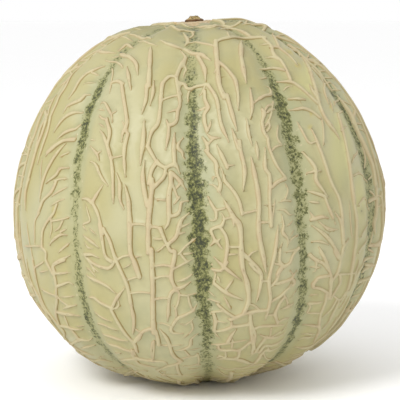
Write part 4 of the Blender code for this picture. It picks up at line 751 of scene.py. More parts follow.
# Mesh of the fruit: rows of vertices beside a crest in half widths of the cord, then the distances
# from one vertex to the next and the clearances that each kind keeps from earlier ones
WIDE_ROWS = (0.0, 0.55, 0.9, 1.15)
THIN_ROWS = (0.0, 0.75, 1.2)
STATION_PITCH = 0.0012
ROW_CLEARANCE = 0.00011
ROW_SLACK = 0.00004
NET_REACH = 0.0016
FAR = 2.0
PIT_TURNS = tuple(math.pi * i / 4 for i in range(8))
GROOVE_ROWS = (0.0, -0.0018, 0.0018, -0.0036, 0.0036, -0.0056, 0.0056)
GROOVE_PITCH = 0.0022
GROOVE_CLEARANCE = 0.0007
GROOVE_CROWDING = 3
TIP_FOOT = 1.2
FILL_PITCH, FILL_TRIES = 0.0020, 1.6
FILL_CLEARANCE = 0.0012
MISS_ROUNDS = 2
MISS_HEIGHT = 0.00013
MISS_SHARE = 1.12
MISS_CLEARANCE = 0.00028
LONGEST_EDGE = 0.0016
RIM_CLEARANCE = 0.0004
FIELD_HALF = 0.47
SEAT_RINGS =((0.0016, 12), (0.0032, 24), (SEAT_RADIUS, 36), (0.0048, 40), (SEAT_EDGE, 44))


def smooth(value):
    """0 to 1 with level ends."""
    t = np.clip(value, 0.0, 1.0)
    return t * t * (3.0 - 2.0 * t)


def suture_longitudes(lat):
    """Longitude of every suture at each latitude, one row for each latitude."""
    up = np.sin(np.asarray(lat, float))[..., None]
    place, slope, bow = np.radians(np.array(SUTURES)).T
    return place + slope * up + bow * up * up


def rib_place(lon, lat):
    """Which rib each point is on, its share of the way across it and the rib's width."""
    sutures = suture_longitudes(lat)
    first = sutures[..., :1]
    turned = first[..., 0] + np.mod(np.asarray(lon, float) - first[..., 0], 2 * math.pi)
    rib = np.clip((turned[..., None] >= sutures).sum(axis=-1) - 1, 0, RIB_COUNT - 1)
    ends = np.concatenate([sutures, first + 2 * math.pi], axis=-1)
    start = np.take_along_axis(ends, rib[..., None], axis=-1)[..., 0]
    end = np.take_along_axis(ends, rib[..., None] + 1, axis=-1)[..., 0]
    return rib, (turned - start) / (end - start), end - start


def suture_distance(lon, lat):
    """Distance along the rind to the nearest suture."""
    _, share, width = rib_place(lon, lat)
    return np.minimum(share, 1.0 - share) * width * WIDEST_RADIUS * np.cos(lat)


def rind_radius(lon, lat):
    """Distance of the bare rind from the middle of the fruit."""
    lon, lat = np.asarray(lon, float), np.asarray(lat, float)
    level, up = np.abs(np.cos(lat)), np.sin(lat)
    reach = np.where(up > 0, TOP_REACH, BOTTOM_REACH)
    fullness = np.where(up > 0, TOP_FULLNESS, BOTTOM_FULLNESS)
    radius = ((level / WIDEST_RADIUS) ** fullness + (np.abs(up) / reach) ** fullness) ** (-1 / fullness)
    from_stem = math.pi / 2 - lat
    radius = radius - HOLLOW_DEPTH * np.exp(-((from_stem / HOLLOW_SPREAD) ** 2))
    _, share, _ = rib_place(lon, lat)
    plain = np.where(up > 0, 0.0, FLAT_RADIUS)
    fade = smooth((level * WIDEST_RADIUS - plain) / POLE_FADE)
    radius = radius - RIB_CROWN * fade * (2 * share - 1) ** 2
    across = np.maximum(suture_distance(lon, lat) - BAND_HALF, 0.0) / GROOVE_REACH
    radius = radius - GROOVE_DEPTH * fade * np.exp(-across * across)
    for swell_lon, swell_lat, spread, height in SWELLS:
        middle = direction(math.radians(swell_lon), math.radians(swell_lat))
        angle = np.arccos(np.clip(direction(lon, lat) @ middle, -1, 1)) / math.radians(spread)
        radius = radius + height * np.exp(-angle * angle)
    from_seat = from_stem * WIDEST_RADIUS
    return radius - SEAT_DEPTH * smooth((SEAT_EDGE - from_seat) / (SEAT_EDGE - SEAT_RADIUS))


def direction(lon, lat):
    """Unit vectors: longitude 0 is the front and grows to the right."""
    lon, lat = np.asarray(lon, float), np.asarray(lat, float)
    return np.stack([np.cos(lat) * np.sin(lon), -np.cos(lat) * np.cos(lon), np.sin(lat)], axis=-1)


def angles(vectors):
    """Longitude and latitude of vectors."""
    x, y, z = np.moveaxis(np.asarray(vectors, float), -1, 0)
    return np.arctan2(x, -y), np.arctan2(z, np.hypot(x, y))


def placed(lon, lat, height):
    """Points at a height above the rind, leaned, cut flat underneath and stood on z = 0."""
    points = direction(lon, lat) * (rind_radius(lon, lat) + height)[..., None]
    points[..., 0] += STEM_SHIFT * np.clip(np.sin(lat), 0, 1) ** STEM_SHIFT_POWER
    x, z = points[..., 0].copy(), points[..., 2].copy()
    points[..., 0] = math.cos(LEAN) * x + math.sin(LEAN) * z
    points[..., 2] = -math.sin(LEAN) * x + math.cos(LEAN) * z
    below = points[..., 2] < -FLOOR_DEPTH
    shrink = np.where(below, -FLOOR_DEPTH / np.minimum(points[..., 2], -1e-6), 1.0)
    return points * shrink[..., None] + np.array(CENTRE)


def flat_direction(radius, turn):
    """Longitude and latitude of a point of the flat spot."""
    x, y = radius * math.cos(turn), radius * math.sin(turn)
    unleaned = (
        math.cos(LEAN) * x + math.sin(LEAN) * FLOOR_DEPTH,
        y,
        math.sin(LEAN) * x - math.cos(LEAN) * FLOOR_DEPTH,
    )
    lon, lat = angles(unleaned)
    return float(lon), float(lat)


def read_from_view(cord):
    """Longitudes and latitudes of a cord's pixels, where their lines of sight meet the rind."""
    eye = -VIEW_DISTANCE * VIEW_FORWARD
    pixels = np.array(cord, float)
    aim = np.outer((pixels[:, 0] - VIEW_CENTRE[0]) * PIXEL, [1.0, 0.0, 0.0])
    aim = aim + np.outer((VIEW_CENTRE[1] - pixels[:, 1]) * PIXEL, VIEW_UPWARD)
    sight = aim - eye
    sight = sight / np.linalg.norm(sight, axis=1)[:, None]
    nearest = -sight @ eye
    miss = np.linalg.norm(eye + sight * nearest[:, None], axis=1)
    radius = np.full(len(pixels), WIDEST_RADIUS)
    for _ in range(SIGHT_ROUNDS):
        back = np.sqrt(np.maximum(radius * radius - miss * miss, 0.0))
        hit = eye + sight * (nearest - back)[:, None]
        upright = hit.copy()
        upright[:, 0] = math.cos(LEAN) * hit[:, 0] - math.sin(LEAN) * hit[:, 2]
        upright[:, 2] = math.sin(LEAN) * hit[:, 0] + math.cos(LEAN) * hit[:, 2]
        shift = STEM_SHIFT * np.clip(upright[:, 2] / radius, 0, 1) ** STEM_SHIFT_POWER
        lon, lat = angles(upright - np.outer(shift, [1.0, 0.0, 0.0]))
        met = direction(lon, lat) * rind_radius(lon, lat)[:, None]
        radius = np.hypot(np.linalg.norm(met[:, 1:], axis=1), met[:, 0] + shift)
    return list(zip(lon, lat))


def curve_through(corners, step):
    """Unit vectors every step along a smooth curve through corners given as longitude, latitude."""
    knots = [Vector(direction(lon, lat)) for lon, lat in corners]
    knots = [2 * knots[0] - knots[1]] + knots + [2 * knots[-1] - knots[-2]]
    found = []
    for a, b, c, d in zip(knots, knots[1:], knots[2:], knots[3:]):
        count = max(1, round((c - b).length * WIDEST_RADIUS / step))
        for i in range(count):
            t = i / count
            square = (2 * a - 5 * b + 4 * c - d) * t * t
            cube = (3 * b - a - 3 * c + d) * t ** 3
            found.append((2 * b + (c - a) * t + square + cube).normalized())
    found.append(knots[-2].normalized())
    return found


class Grid:
    """Entries kept by where they are, in cubes of one size."""

    def __init__(self, size):
        self.size = size
        self.cells = {}

    def cell(self, spot):
        return tuple(math.floor(c * WIDEST_RADIUS / self.size) for c in spot)

    def add(self, spot, entry):
        self.cells.setdefault(self.cell(spot), []).append(entry)

    def around(self, spot):
        """The entries of a spot's cube and of the ones round it."""
        x, y, z = self.cell(spot)
        for dx in (-1, 0, 1):
            for dy in (-1, 0, 1):
                for dz in (-1, 0, 1):
                    yield from self.cells.get((x + dx, y + dy, z + dz), ())


class Net:
    """The cords drawn so far, with a grid that finds what is near a spot."""

    def __init__(self):
        self.cords = []
        self.grid = Grid(ROOM)

    def add(self, corners, size, tapers=(True, True)):
        curve = curve_through(corners, CORD_STEP)
        number = len(self.cords)
        self.cords.append((curve, size, tapers))
        for spot in curve:
            self.grid.add(spot, (spot, number))

    def near(self, spot, reach, but=()):
        """The nearest spot of another cord within reach, or None."""
        best, found = reach / WIDEST_RADIUS, None
        for other, number in self.grid.around(spot):
            gap = (other - spot).length
            if gap < best and number not in but:
                best, found = gap, other
        return found

    def has_room(self, corners, but=(), room=ROOM):
        """Whether a cord is off the part whose cords are listed, and its middle mostly clear of other
        cords.
        """
        if read_by_eye(*corners[len(corners) // 2]):
            return False
        middle = corners[2:-2]
        close = sum(self.near(Vector(direction(*corner)), room, but) is not None for corner in middle)
        return 2 * close < len(middle)


def walk(net, draw, lon, lat, heading, longest, turn=0.0, wander=WALK_WANDER, but=(), meeting=MEETING):
    """Corners from a start along a heading in degrees from the right, until it meets a cord.

    Returns the corners and whether the walk met a cord or a suture's band, where it also ends.
    """
    corners = [(lon, lat)]
    walked = 0.0
    while walked < longest:
        heading += turn + draw.uniform(-wander, wander)
        level = max(math.cos(lat), LEAST_LEVEL)
        lon += WALK_STEP * math.cos(math.radians(heading)) / WIDEST_RADIUS / level
        lat += WALK_STEP * math.sin(math.radians(heading)) / WIDEST_RADIUS
        walked += WALK_STEP
        if abs(lat) > math.radians(WALK_HIGHEST):
            return corners, False
        if walked > WALK_FREE:
            spot = Vector(direction(lon, lat))
            met = net.near(spot, meeting, but)
            if met is not None:
                corners.append(tuple(float(a) for a in angles(met)))
                return corners, True
            if suture_distance(lon, lat) < BAND_HALF:
                corners.append((lon, lat))
                return corners, True
        corners.append((lon, lat))
    return corners, False


def thinned(corners, every=3):
    """Every few corners and the last, so that the curve through them is smooth."""
    kept = corners[::every]
    if kept[-1] != corners[-1]:
        kept.append(corners[-1])
    return kept if len(kept) > 1 else corners[:1] + corners[-1:]


def read_by_eye(lon, lat):
    """Whether the front's lists hold the cords of this place, which so gets none by rule."""
    facing = math.cos(lat) * math.cos(lon) * math.cos(VIEW_RISE) + math.sin(lat) * math.sin(VIEW_RISE)
    rib, _, _ = rib_place(lon, lat)
    return int(rib) < FRONT_RIBS and facing > FRONT_FACING


def add_front_cords(net):
    for cords, size in ((THICK_CORDS, THICK), (PLAIN_CORDS, PLAIN), (MIDDLE_CORDS, MIDDLE)):
        for cord in cords:
            net.add(read_from_view(cord), size)


def add_lanes(net, draw):
    """Long upright cords, end to end in lanes along each rib that the front's list leaves bare."""
    for rib in range(RIB_COUNT):
        for lane in range(LANE_COUNT):
            share = (lane + 0.5 + draw.uniform(-LANE_OFFSET, LANE_OFFSET)) / LANE_COUNT
            lat = math.radians(LANE_HIGHEST - draw.uniform(0, LANE_START))
            while lat > math.radians(LANE_LOWEST):
                length = draw.uniform(LANE_SHORTEST, LANE_LONGEST)
                drift = draw.uniform(-LANE_DRIFT, LANE_DRIFT)
                size = draw.choice((THICK, PLAIN, PLAIN))
                corners = []
                for i in range(LANE_BENDS + 1):
                    here = lat - length / WIDEST_RADIUS * i / LANE_BENDS
                    wander = draw.uniform(-LANE_WANDER, LANE_WANDER)
                    across = share + drift * (i / LANE_BENDS - 0.5) + wander
                    sutures = suture_longitudes(here)
                    start = sutures[rib]
                    end = sutures[rib + 1] if rib + 1 < RIB_COUNT else sutures[0] + 2 * math.pi
                    corners.append((float(start + (end - start) * across), here))
                middle = corners[LANE_BENDS // 2]
                if not read_by_eye(*middle) and net.near(Vector(direction(*middle)), ROOM) is None:
                    net.add(corners, size)
                lat -= (length + draw.uniform(*LANE_GAPS)) / WIDEST_RADIUS
                share = max(share + draw.uniform(-LANE_SHIFT, LANE_SHIFT), LANE_MARGIN)
                share = min(share, 1 - LANE_MARGIN)


def add_stem_cords(net, draw):
    """Cords that spread from the stem's scar, but not on the front, whose list holds its own."""
    for i in range(STEM_CORDS):
        lon = 2 * math.pi * (i + draw.uniform(-STEM_CORD_OFFSET, STEM_CORD_OFFSET)) / STEM_CORDS
        lat = math.pi / 2 - STEM_CORD_START * draw.uniform(*STEM_CORD_STARTS) / WIDEST_RADIUS
        longest = STEM_CORD_LONGEST * draw.uniform(*CORD_LENGTHS)
        heading = draw.uniform(*STEM_CORD_HEADINGS)
        turn = draw.uniform(-STEM_CORD_TURN, STEM_CORD_TURN)
        corners, met = walk(net, draw, lon, lat, heading, longest, turn)
        if math.cos(lon) < STEM_CORD_FRONT and len(corners) * WALK_STEP > SHORTEST:
            net.add(thinned(corners), PLAIN, (False, not met))


def add_branches(net, draw):
    """Short cords that leave both sides of each suture, hanging on the upper half."""
    for k in range(RIB_COUNT):
        for side in (-1, 1):
            lat = math.radians(BRANCH_HIGHEST) - draw.uniform(0, BRANCH_START)
            while lat > math.radians(-BRANCH_HIGHEST):
                start = BAND_HALF * draw.uniform(*BRANCH_STARTS) / WIDEST_RADIUS / math.cos(lat)
                lon = float(suture_longitudes(lat)[k]) + side * start
                hang = BRANCH_HANG * max(0.0, math.sin(lat)) + draw.uniform(*BRANCH_HANGS)
                heading = -hang if side > 0 else 180 + hang
                turn = -side * BRANCH_CURL * max(0.0, math.sin(lat) + BRANCH_CURL_RISE)
                longest = BRANCH_LONGEST * draw.uniform(*CORD_LENGTHS)
                corners, met = walk(net, draw, lon, lat, heading, longest, turn)
                if len(corners) * WALK_STEP > SHORTEST and net.has_room(corners):
                    net.add(thinned(corners), PLAIN, (False, not met))
                lat -= BRANCH_PITCH * draw.uniform(*BRANCH_PITCHES) / WIDEST_RADIUS


def spot_on(net, draw, numbers):
    """One of some cords, with the longitude and latitude of a place along it."""
    number = draw.choice(numbers)
    curve = net.cords[number][0]
    lon, lat = angles(curve[draw.randrange(2, len(curve) - 2)])
    return number, float(lon), float(lat)


def add_rungs(net, draw):
    """Cross pieces from one cord to the next, closer together towards the bottom."""
    long_cords = [number for number, (curve, _, _) in enumerate(net.cords) if len(curve) > RUNG_HOST]
    for _ in range(RUNG_TRIES):
        number, lon, lat = spot_on(net, draw, long_cords)
        heading = draw.choice((0, 180)) + draw.uniform(-RUNG_SLANT, RUNG_SLANT)
        keep = draw.random() < (RUNG_SHARE if lat > math.radians(RUNG_LEVEL) else 1.0)
        corners, met = walk(net, draw, lon, lat, heading, RUNG_LONGEST, 0.0, RUNG_WANDER, (number,))
        if keep and met and len(corners) * WALK_STEP > SHORTEST and net.has_room(corners, (number,)):
            net.add(thinned(corners), PLAIN, (False, False))


def vein_at(k, lat):
    """Half width of a suture's green and how dark it is, at a latitude."""
    at, half, dark = np.array(VEINS[k]).T
    here = np.degrees(lat)
    return np.interp(here, at, half), np.interp(here, at, dark)


def add_fine_front(net):
    for cord in THIN_CORDS:
        net.add(read_from_view(cord), THIN)


def join_front_cords(net):
    """Takes the taper off each end that meets another cord."""
    for number, (curve, size, tapers) in enumerate(net.cords):
        if all(tapers):
            joined = [net.near(end, JOINING, (number,)) is not None for end in (curve[0], curve[-1])]
            net.cords[number] = (curve, size, (not joined[0], not joined[1]))


def add_stem_arcs(net, draw):
    """Thin cords round the stem, across the ones that spread from it."""
    for i in range(STEM_ARCS):
        lon = 2 * math.pi * (i + draw.uniform(-STEM_ARC_OFFSET, STEM_ARC_OFFSET)) / STEM_ARCS
        lat = math.pi / 2 - draw.uniform(*STEM_ARC_STARTS) / WIDEST_RADIUS
        heading = draw.choice((0, 180)) + draw.uniform(-FINE_SLANT, FINE_SLANT)
        longest = draw.uniform(*STEM_ARC_LENGTHS)
        turn = draw.uniform(-FINE_TURN, FINE_TURN)
        corners, met = walk(net, draw, lon, lat, heading, longest, turn, FINE_WANDER, (), FINE_MEETING)
        if len(corners) * WALK_STEP > FINE_SHORTEST and net.has_room(corners, room=FINE_ROOM):
            net.add(thinned(corners), THIN, (True, not met))


def add_twigs(net, draw):
    """Short thin cords along both sides of each suture."""
    for k in range(RIB_COUNT):
        for side in (-1, 1):
            lat = math.radians(TWIG_HIGHEST)
            while lat > math.radians(TWIG_LOWEST):
                half, _ = vein_at(k, lat)
                start = (half + draw.uniform(*TWIG_STARTS)) / WIDEST_RADIUS / math.cos(lat)
                lon = float(suture_longitudes(lat)[k]) + side * start
                hang = TWIG_HANG * math.sin(lat) + draw.uniform(-TWIG_SLANT, TWIG_SLANT)
                heading = -hang if side > 0 else 180 + hang
                longest = TWIG_LONGEST * draw.uniform(*TWIG_LENGTHS)
                size = draw.choice((THIN, THIN, FAINT))
                turn = draw.uniform(-FINE_TURN, FINE_TURN)
                corners, met = walk(net, draw, lon, lat, heading, longest, turn, TWIG_WANDER, (),
                                    FINE_MEETING)
                if len(corners) * WALK_STEP > FINE_SHORTEST and net.has_room(corners, room=FINE_ROOM):
                    net.add(thinned(corners, 2), size, (False, not met))
                lat -= TWIG_PITCH * draw.uniform(*TWIG_PITCHES) / WIDEST_RADIUS


def add_strands(net, draw):
    """Thin crooked cords that run down beside each suture, closer together towards the bottom."""
    for k in range(RIB_COUNT):
        for side in (-1, 1):
            for offset in STRAND_OFFSETS:
                lat = math.radians(STRAND_HIGHEST) - draw.uniform(0, STRAND_START)
                while lat > math.radians(STRAND_LOWEST):
                    half, _ = vein_at(k, lat)
                    away = half + offset + draw.uniform(-STRAND_UNEVEN, STRAND_UNEVEN)
                    start = away / WIDEST_RADIUS / math.cos(lat)
                    lon = float(suture_longitudes(lat)[k]) + side * start
                    longest = draw.uniform(STRAND_SHORTEST, STRAND_LONGEST)
                    keep = draw.random() < (STRAND_SHARE_BELOW if lat < 0 else STRAND_SHARE_ABOVE)
                    heading = -90 + draw.uniform(-FINE_SLANT, FINE_SLANT)
                    corners, met = walk(net, draw, lon, lat, heading, longest, 0.0, STRAND_WANDER, (),
                                        FINE_MEETING)
                    clear = net.has_room(corners, room=FINE_ROOM)
                    if keep and clear and len(corners) * WALK_STEP > FINE_SHORTEST:
                        net.add(thinned(corners, 2), THIN, (True, not met))
                    lat -= (longest + draw.uniform(*STRAND_GAPS)) / WIDEST_RADIUS


def add_fine_rungs(net, draw):
    """Thin cross pieces between cords, most of them on the lower half."""
    long_cords = [number for number, (curve, _, _) in enumerate(net.cords) if len(curve) > FINE_RUNG_HOST]
    for _ in range(FINE_RUNG_TRIES):
        number, lon, lat = spot_on(net, draw, long_cords)
        heading = draw.choice((0, 180)) + draw.uniform(-FINE_SLANT, FINE_SLANT)
        keep = draw.random() < (FINE_RUNG_SHARE if lat > math.radians(FINE_RUNG_LEVEL) else 1.0)
        size = draw.choice((THIN, FAINT))
        corners, met = walk(net, draw, lon, lat, heading, FINE_RUNG_LONGEST, 0.0, FINE_WANDER, (number,),
                            FINE_MEETING)
        clear = net.has_room(corners, (number,), FINE_ROOM * FINE_RUNG_ROOM)
        if keep and met and clear and len(corners) * WALK_STEP > FINE_SHORTEST:
            net.add(thinned(corners, 2), size, (False, False))


def grown_net():
    net = Net()
    draw = random.Random(SEED)
    add_front_cords(net)
    add_stem_cords(net, draw)
    add_lanes(net, draw)
    add_branches(net, draw)
    add_rungs(net, draw)
    draw = random.Random(FINE_SEED)
    add_fine_front(net)
    add_stem_arcs(net, draw)
    add_twigs(net, draw)
    add_strands(net, draw)
    add_fine_rungs(net, draw)
    join_front_cords(net)
    return net


def cord_scale(index, count, half, tapers):
    """How much of its full width a cord has at one of its steps."""
    reach = min(TAPER_WIDTHS * half / CORD_STEP, count / 2)
    scale = 1.0
    if tapers[0]:
        scale = min(scale, TIP_SHARE + (1 - TIP_SHARE) * min(1.0, index / reach))
    if tapers[1]:
        scale = min(scale, TIP_SHARE + (1 - TIP_SHARE) * min(1.0, (count - 1 - index) / reach))
    return scale


def profile(share):
    """Height of a cord at a share of its half width, as a share of its full height."""
    return (1.0 - share ** FLATNESS) ** ROUNDING if share < 1.0 else 0.0


class Relief:
    """Height of the net above the rind at any direction."""

    def __init__(self, net):
        self.steps = []
        self.cords = []
        for curve, (half, height), tapers in net.cords:
            count = len(curve)
            first = len(self.steps)
            for i, spot in enumerate(curve):
                along = (curve[min(i + 1, count - 1)] - curve[max(i - 1, 0)]).normalized()
                scale = cord_scale(i, count, half, tapers)
                place = spot * WIDEST_RADIUS
                width = half * scale * (1 + WIDTH_WOBBLE * noise.noise(place * WIDTH_WAVES))
                rise = height * scale ** 0.5 * (1 + HEIGHT_WOBBLE * noise.noise(place * HEIGHT_WAVES))
                self.steps.append((place, along, width, rise))
            self.cords.append((first, count, half > THIN[0]))
        self.tree = KDTree(len(self.steps))
        for i, step in enumerate(self.steps):
            self.tree.insert(step[0], i)
        self.tree.balance()

    def read(self, spot):
        """Height of the net, how far the nearest crest is in its half widths, and how far it lies towards
        the side that painted shade darkens, away from the key light.
        """
        here = spot * WIDEST_RADIUS
        best, nearest, side = 0.0, FAR, 0.0
        for _, i, _ in self.tree.find_range(here, NET_REACH):
            place, along, half, height = self.steps[i]
            offset = here - place
            run = offset.dot(along)
            past = max(0.0, abs(run) - CORD_STEP / 2)
            across = offset - along * run
            share = math.sqrt(across.length_squared + past * past) / half
            if share < nearest:
                nearest = share
                side = across.dot(SHADE_SIDE_WAY) / max(across.length, 1e-6) if share > CREST_SHARE else 0.0
            if share < 1.0:
                best = max(best, height * profile(share))
        return best, nearest, side


class Spots:
    """Chosen directions, which keep a clearance from each other, and the edges kept between them."""

    def __init__(self):
        self.chosen = []
        self.marks = []
        self.edges = []
        self.grid = Grid(FILL_CLEARANCE)
        self.bottom = 0
        self.flat_reach = 0.0

    def clear(self, spot, clearance):
        for other in self.grid.around(spot):
            if (other - spot).length * WIDEST_RADIUS < clearance:
                return False
        return True

    def add(self, spot, mark, clearance=0.0):
        """The spot's number, or None where it has no room. Its mark is what the relief reads there."""
        if clearance and not self.clear(spot, clearance):
            return None
        self.chosen.append(spot)
        self.marks.append(mark)
        self.grid.add(spot, spot)
        return len(self.chosen) - 1

    def add_line(self, line, clearance):
        """Spots along a line, joined by kept edges. A None in the line leaves a gap."""
        last = None
        for entry in line:
            number = self.add(*entry, clearance) if entry is not None else None
            if number is not None and last is not None:
                if (entry[0] - self.chosen[last]).length * WIDEST_RADIUS < LONGEST_EDGE:
                    self.edges.append((last, number))
            last = number


def add_rims(spots):
    """The rings of the stem's seat and of the flat spot."""
    bare = (0.0, FAR, 0.0)
    for radius, count in SEAT_RINGS:
        lat = math.pi / 2 - radius / WIDEST_RADIUS
        for i in range(count):
            spots.add(Vector(direction(2 * math.pi * i / count, lat)), bare)
    bottom = Vector(direction(*flat_direction(0.0, 0.0)))
    spots.bottom = spots.add(bottom, bare)
    for i in range(FLAT_SIDES):
        spot = Vector(direction(*flat_direction(FLAT_RADIUS, 2 * math.pi * i / FLAT_SIDES)))
        spots.add(spot, bare)
        spots.flat_reach = max(spots.flat_reach, (spot - bottom).length)


def cord_row(net, relief, number, row, side, usable):
    """One row of spots along a cord, with gaps where another cord stands higher."""
    first, count, wide = relief.cords[number]
    curve = net.cords[number][0]
    parts = max(1, round((count - 1) * CORD_STEP / STATION_PITCH))
    line = []
    for part in range(parts + 1):
        i = round(part * (count - 1) / parts)
        _, along, half, height = relief.steps[first + i]
        across = curve[i].cross(along).normalized()
        spot = (curve[i] + across * (side * row * half / WIDEST_RADIUS)).normalized()
        mark = relief.read(spot)
        free = mark[0] <= height * profile(row) + ROW_SLACK
        line.append((spot, mark) if free and usable(spot) else None)
    return line


def add_tips(spots, relief, number, usable):
    """The foot in front of each end of a cord."""
    first, count, _ = relief.cords[number]
    for i, way in ((0, -1), (count - 1, 1)):
        place, along, half, _ = relief.steps[first + i]
        spot = (place + along * (way * (CORD_STEP / 2 + TIP_FOOT * half))).normalized()
        mark = relief.read(spot)
        if mark[0] == 0.0 and usable(spot):
            spots.add(spot, mark, ROW_CLEARANCE)


def groove_line(k, offset):
    """Spots along a suture, or beside it at an offset to its right."""
    steps = round(math.pi * WIDEST_RADIUS / GROOVE_PITCH)
    line = []
    for i in range(1, steps):
        lat = math.pi * (i / steps - 0.5)
        level = WIDEST_RADIUS * math.cos(lat)
        if level > GROOVE_CROWDING * abs(offset):
            line.append(Vector(direction(suture_longitudes(lat)[k] + offset / level, lat)))
    return line


def fruit_spots(net, relief):
    """Directions of the fruit's vertices: rims first, then cords from crest to foot, grooves and fill."""
    spots = Spots()
    add_rims(spots)
    bottom = spots.chosen[spots.bottom]

    def usable(spot):
        off_flat = (spot - bottom).length > spots.flat_reach + RIM_CLEARANCE / WIDEST_RADIUS
        off_seat = (spot - Vector((0, 0, 1))).length * WIDEST_RADIUS > SEAT_EDGE + RIM_CLEARANCE
        return off_flat and off_seat

    for x, y, wide, high in PITS:
        ring = [(x + wide * math.cos(turn), y + high * math.sin(turn)) for turn in PIT_TURNS]
        for lon, lat in read_from_view([(x, y)] + ring):
            spot = Vector(direction(lon, lat))
            if usable(spot):
                spots.add(spot, relief.read(spot), ROW_CLEARANCE)
    for rank in range(len(WIDE_ROWS)):
        for number, (_, _, wide) in enumerate(relief.cords):
            rows = WIDE_ROWS if wide else THIN_ROWS
            if rank < len(rows):
                for side in (-1, 1) if rank else (1,):
                    line = cord_row(net, relief, number, rows[rank], side, usable)
                    spots.add_line(line, ROW_CLEARANCE)
    for number in range(len(relief.cords)):
        add_tips(spots, relief, number, usable)
    for offset in GROOVE_ROWS:
        for k in range(RIB_COUNT):
            for spot in groove_line(k, offset):
                if usable(spot):
                    spots.add(spot, relief.read(spot), GROOVE_CLEARANCE)
    fill_count = round(4 * math.pi * (WIDEST_RADIUS / FILL_PITCH) ** 2 * FILL_TRIES)
    for i in range(fill_count):
        lat = math.asin(1 - 2 * (i + 0.5) / fill_count)
        spot = Vector(direction(i * math.pi * (3 - math.sqrt(5)), lat))
        if usable(spot) and spots.clear(spot, FILL_CLEARANCE):
            spots.add(spot, relief.read(spot))
    return spots


def flat_net(spots, relief):
    """Directions, triangles and relief of a flat Delaunay net, seen from the stem."""
    flat = [Vector((s.x / (1 - s.z), s.y / (1 - s.z))) for s in spots.chosen]
    found, _, triangles, origins, _, _ = delaunay_2d_cdt(flat, spots.edges, [], 0, 1e-9, True)
    found = [Vector((2 * p.x, 2 * p.y, p.length_squared - 1)) / (p.length_squared + 1) for p in found]
    marks = []
    for spot, origin in zip(found, origins):
        marks.append(spots.marks[origin[0]] if origin else relief.read(spot))
    return found, [tuple(face) for face in triangles], marks


def add_missed(spots, relief):
    """Spots in the middle of triangles that bridge a cell of the net or cut a cord's side off."""
    found, triangles, marks = flat_net(spots, relief)
    heights, gaps, _ = np.array(marks).T
    bottom = found[spots.bottom]
    for face in triangles:
        corners = list(face)
        touched = heights[corners].max() > 0 or gaps[corners].min() < FAR
        if not touched or any((found[i] - bottom).length < spots.flat_reach for i in face):
            continue
        middle = (found[face[0]] + found[face[1]] + found[face[2]]).normalized()
        mark = relief.read(middle)
        miss = abs(heights[corners].mean() - mark[0]) > MISS_HEIGHT
        bridge = gaps[corners].mean() < MISS_SHARE < mark[1]
        if miss or bridge:
            spots.add(middle, mark, MISS_CLEARANCE)


def wrapped(spots, relief):
    """Directions, triangles and relief of a closed skin.

    The stem's own direction comes last, and the net's outermost ring closes on it.
    """
    for _ in range(MISS_ROUNDS):
        add_missed(spots, relief)
    found, triangles, marks = flat_net(spots, relief)
    edges = {(a, b) for face in triangles for a, b in zip(face, face[1:] + face[:1])}
    rim = [(a, b) for a, b in edges if (b, a) not in edges]
    closing = [(b, a, len(found)) for a, b in rim]
    return found + [Vector((0, 0, 1))], triangles + closing, np.array(marks + [(0.0, FAR, 0.0)])


def finish_mesh(name, points, faces, material):
    mesh = bpy.data.meshes.new(name)
    mesh.from_pydata([tuple(p) for p in points], [], faces)
    shape = bmesh.new()
    shape.from_mesh(mesh)
    bmesh.ops.recalc_face_normals(shape, faces=shape.faces)
    if shape.calc_volume(signed=True) < 0:
        bmesh.ops.reverse_faces(shape, faces=shape.faces)
    shape.to_mesh(mesh)
    shape.free()
    mesh.materials.append(material)
    mesh.shade_smooth()
    made = bpy.data.objects.new(name, mesh)
    bpy.context.collection.objects.link(made)
    return made


def set_attribute(mesh, name, values):
    layer = mesh.attributes.new(name, "FLOAT", "POINT")
    layer.data.foreach_set("value", np.asarray(values, np.float32))


def vein_marks(lon, lat):
    """How far each vertex is from its suture in half widths of the green, and how dark that is."""
    gap = np.full(len(lon), NO_GREEN)
    dark = np.zeros(len(lon))
    sutures = suture_longitudes(lat)
    for k in range(RIB_COUNT):
        half, strength = vein_at(k, lat)
        turn = (lon - sutures[:, k] + math.pi) % (2 * math.pi) - math.pi
        across = turn * WIDEST_RADIUS * np.cos(lat) - GREEN_SHIFTS.get(k, 0.0)
        away = np.abs(across) / half
        nearer = away < gap
        gap = np.where(nearer, away, gap)
        dark = np.where(nearer, strength, dark)
    return gap, dark


def seen_pixels(points):
    """Where points show in the front view, and whether they face it."""
    offset = points - np.array(CENTRE)
    ahead = offset @ VIEW_FORWARD
    depth = (VIEW_DISTANCE + ahead) / VIEW_DISTANCE
    x = VIEW_CENTRE[0] + offset[:, 0] / depth / PIXEL
    y = VIEW_CENTRE[1] - offset @ VIEW_UPWARD / depth / PIXEL
    return x, y, ahead < 0


def spot_marks(points, marks):
    """1 in the middle of each mark, falling to 0 a little outside it."""
    x, y, facing = seen_pixels(points)
    strength = np.zeros(len(points))
    for mark_x, mark_y, wide, high in marks:
        away = np.hypot((x - mark_x) / wide, (y - mark_y) / high)
        here = 1.0 - smooth((away - MARK_CORE) / MARK_FADE)
        strength = np.maximum(strength, np.where(facing, here, 0.0))
    return strength


def end_marks(lat, end, reach):
    """1 round one end of the fruit, easing to 0 away from it."""
    from_end = np.abs(lat - end) * WIDEST_RADIUS
    return 1.0 - smooth((from_end - reach) / END_FADE)


def skirt_marks(lon, lat):
    """1 on the cork round the stem, easing to 0 at its ragged edge."""
    from_stem = (math.pi / 2 - lat) * WIDEST_RADIUS
    turned = (lon + math.pi) % (2 * math.pi) - math.pi
    tongue = TONGUE_REACH * np.exp(-((turned / TONGUE_SPREAD) ** 2))
    return 1.0 - smooth((from_stem - SKIRT_RADIUS - tongue) / SKIRT_FADE + 0.5)


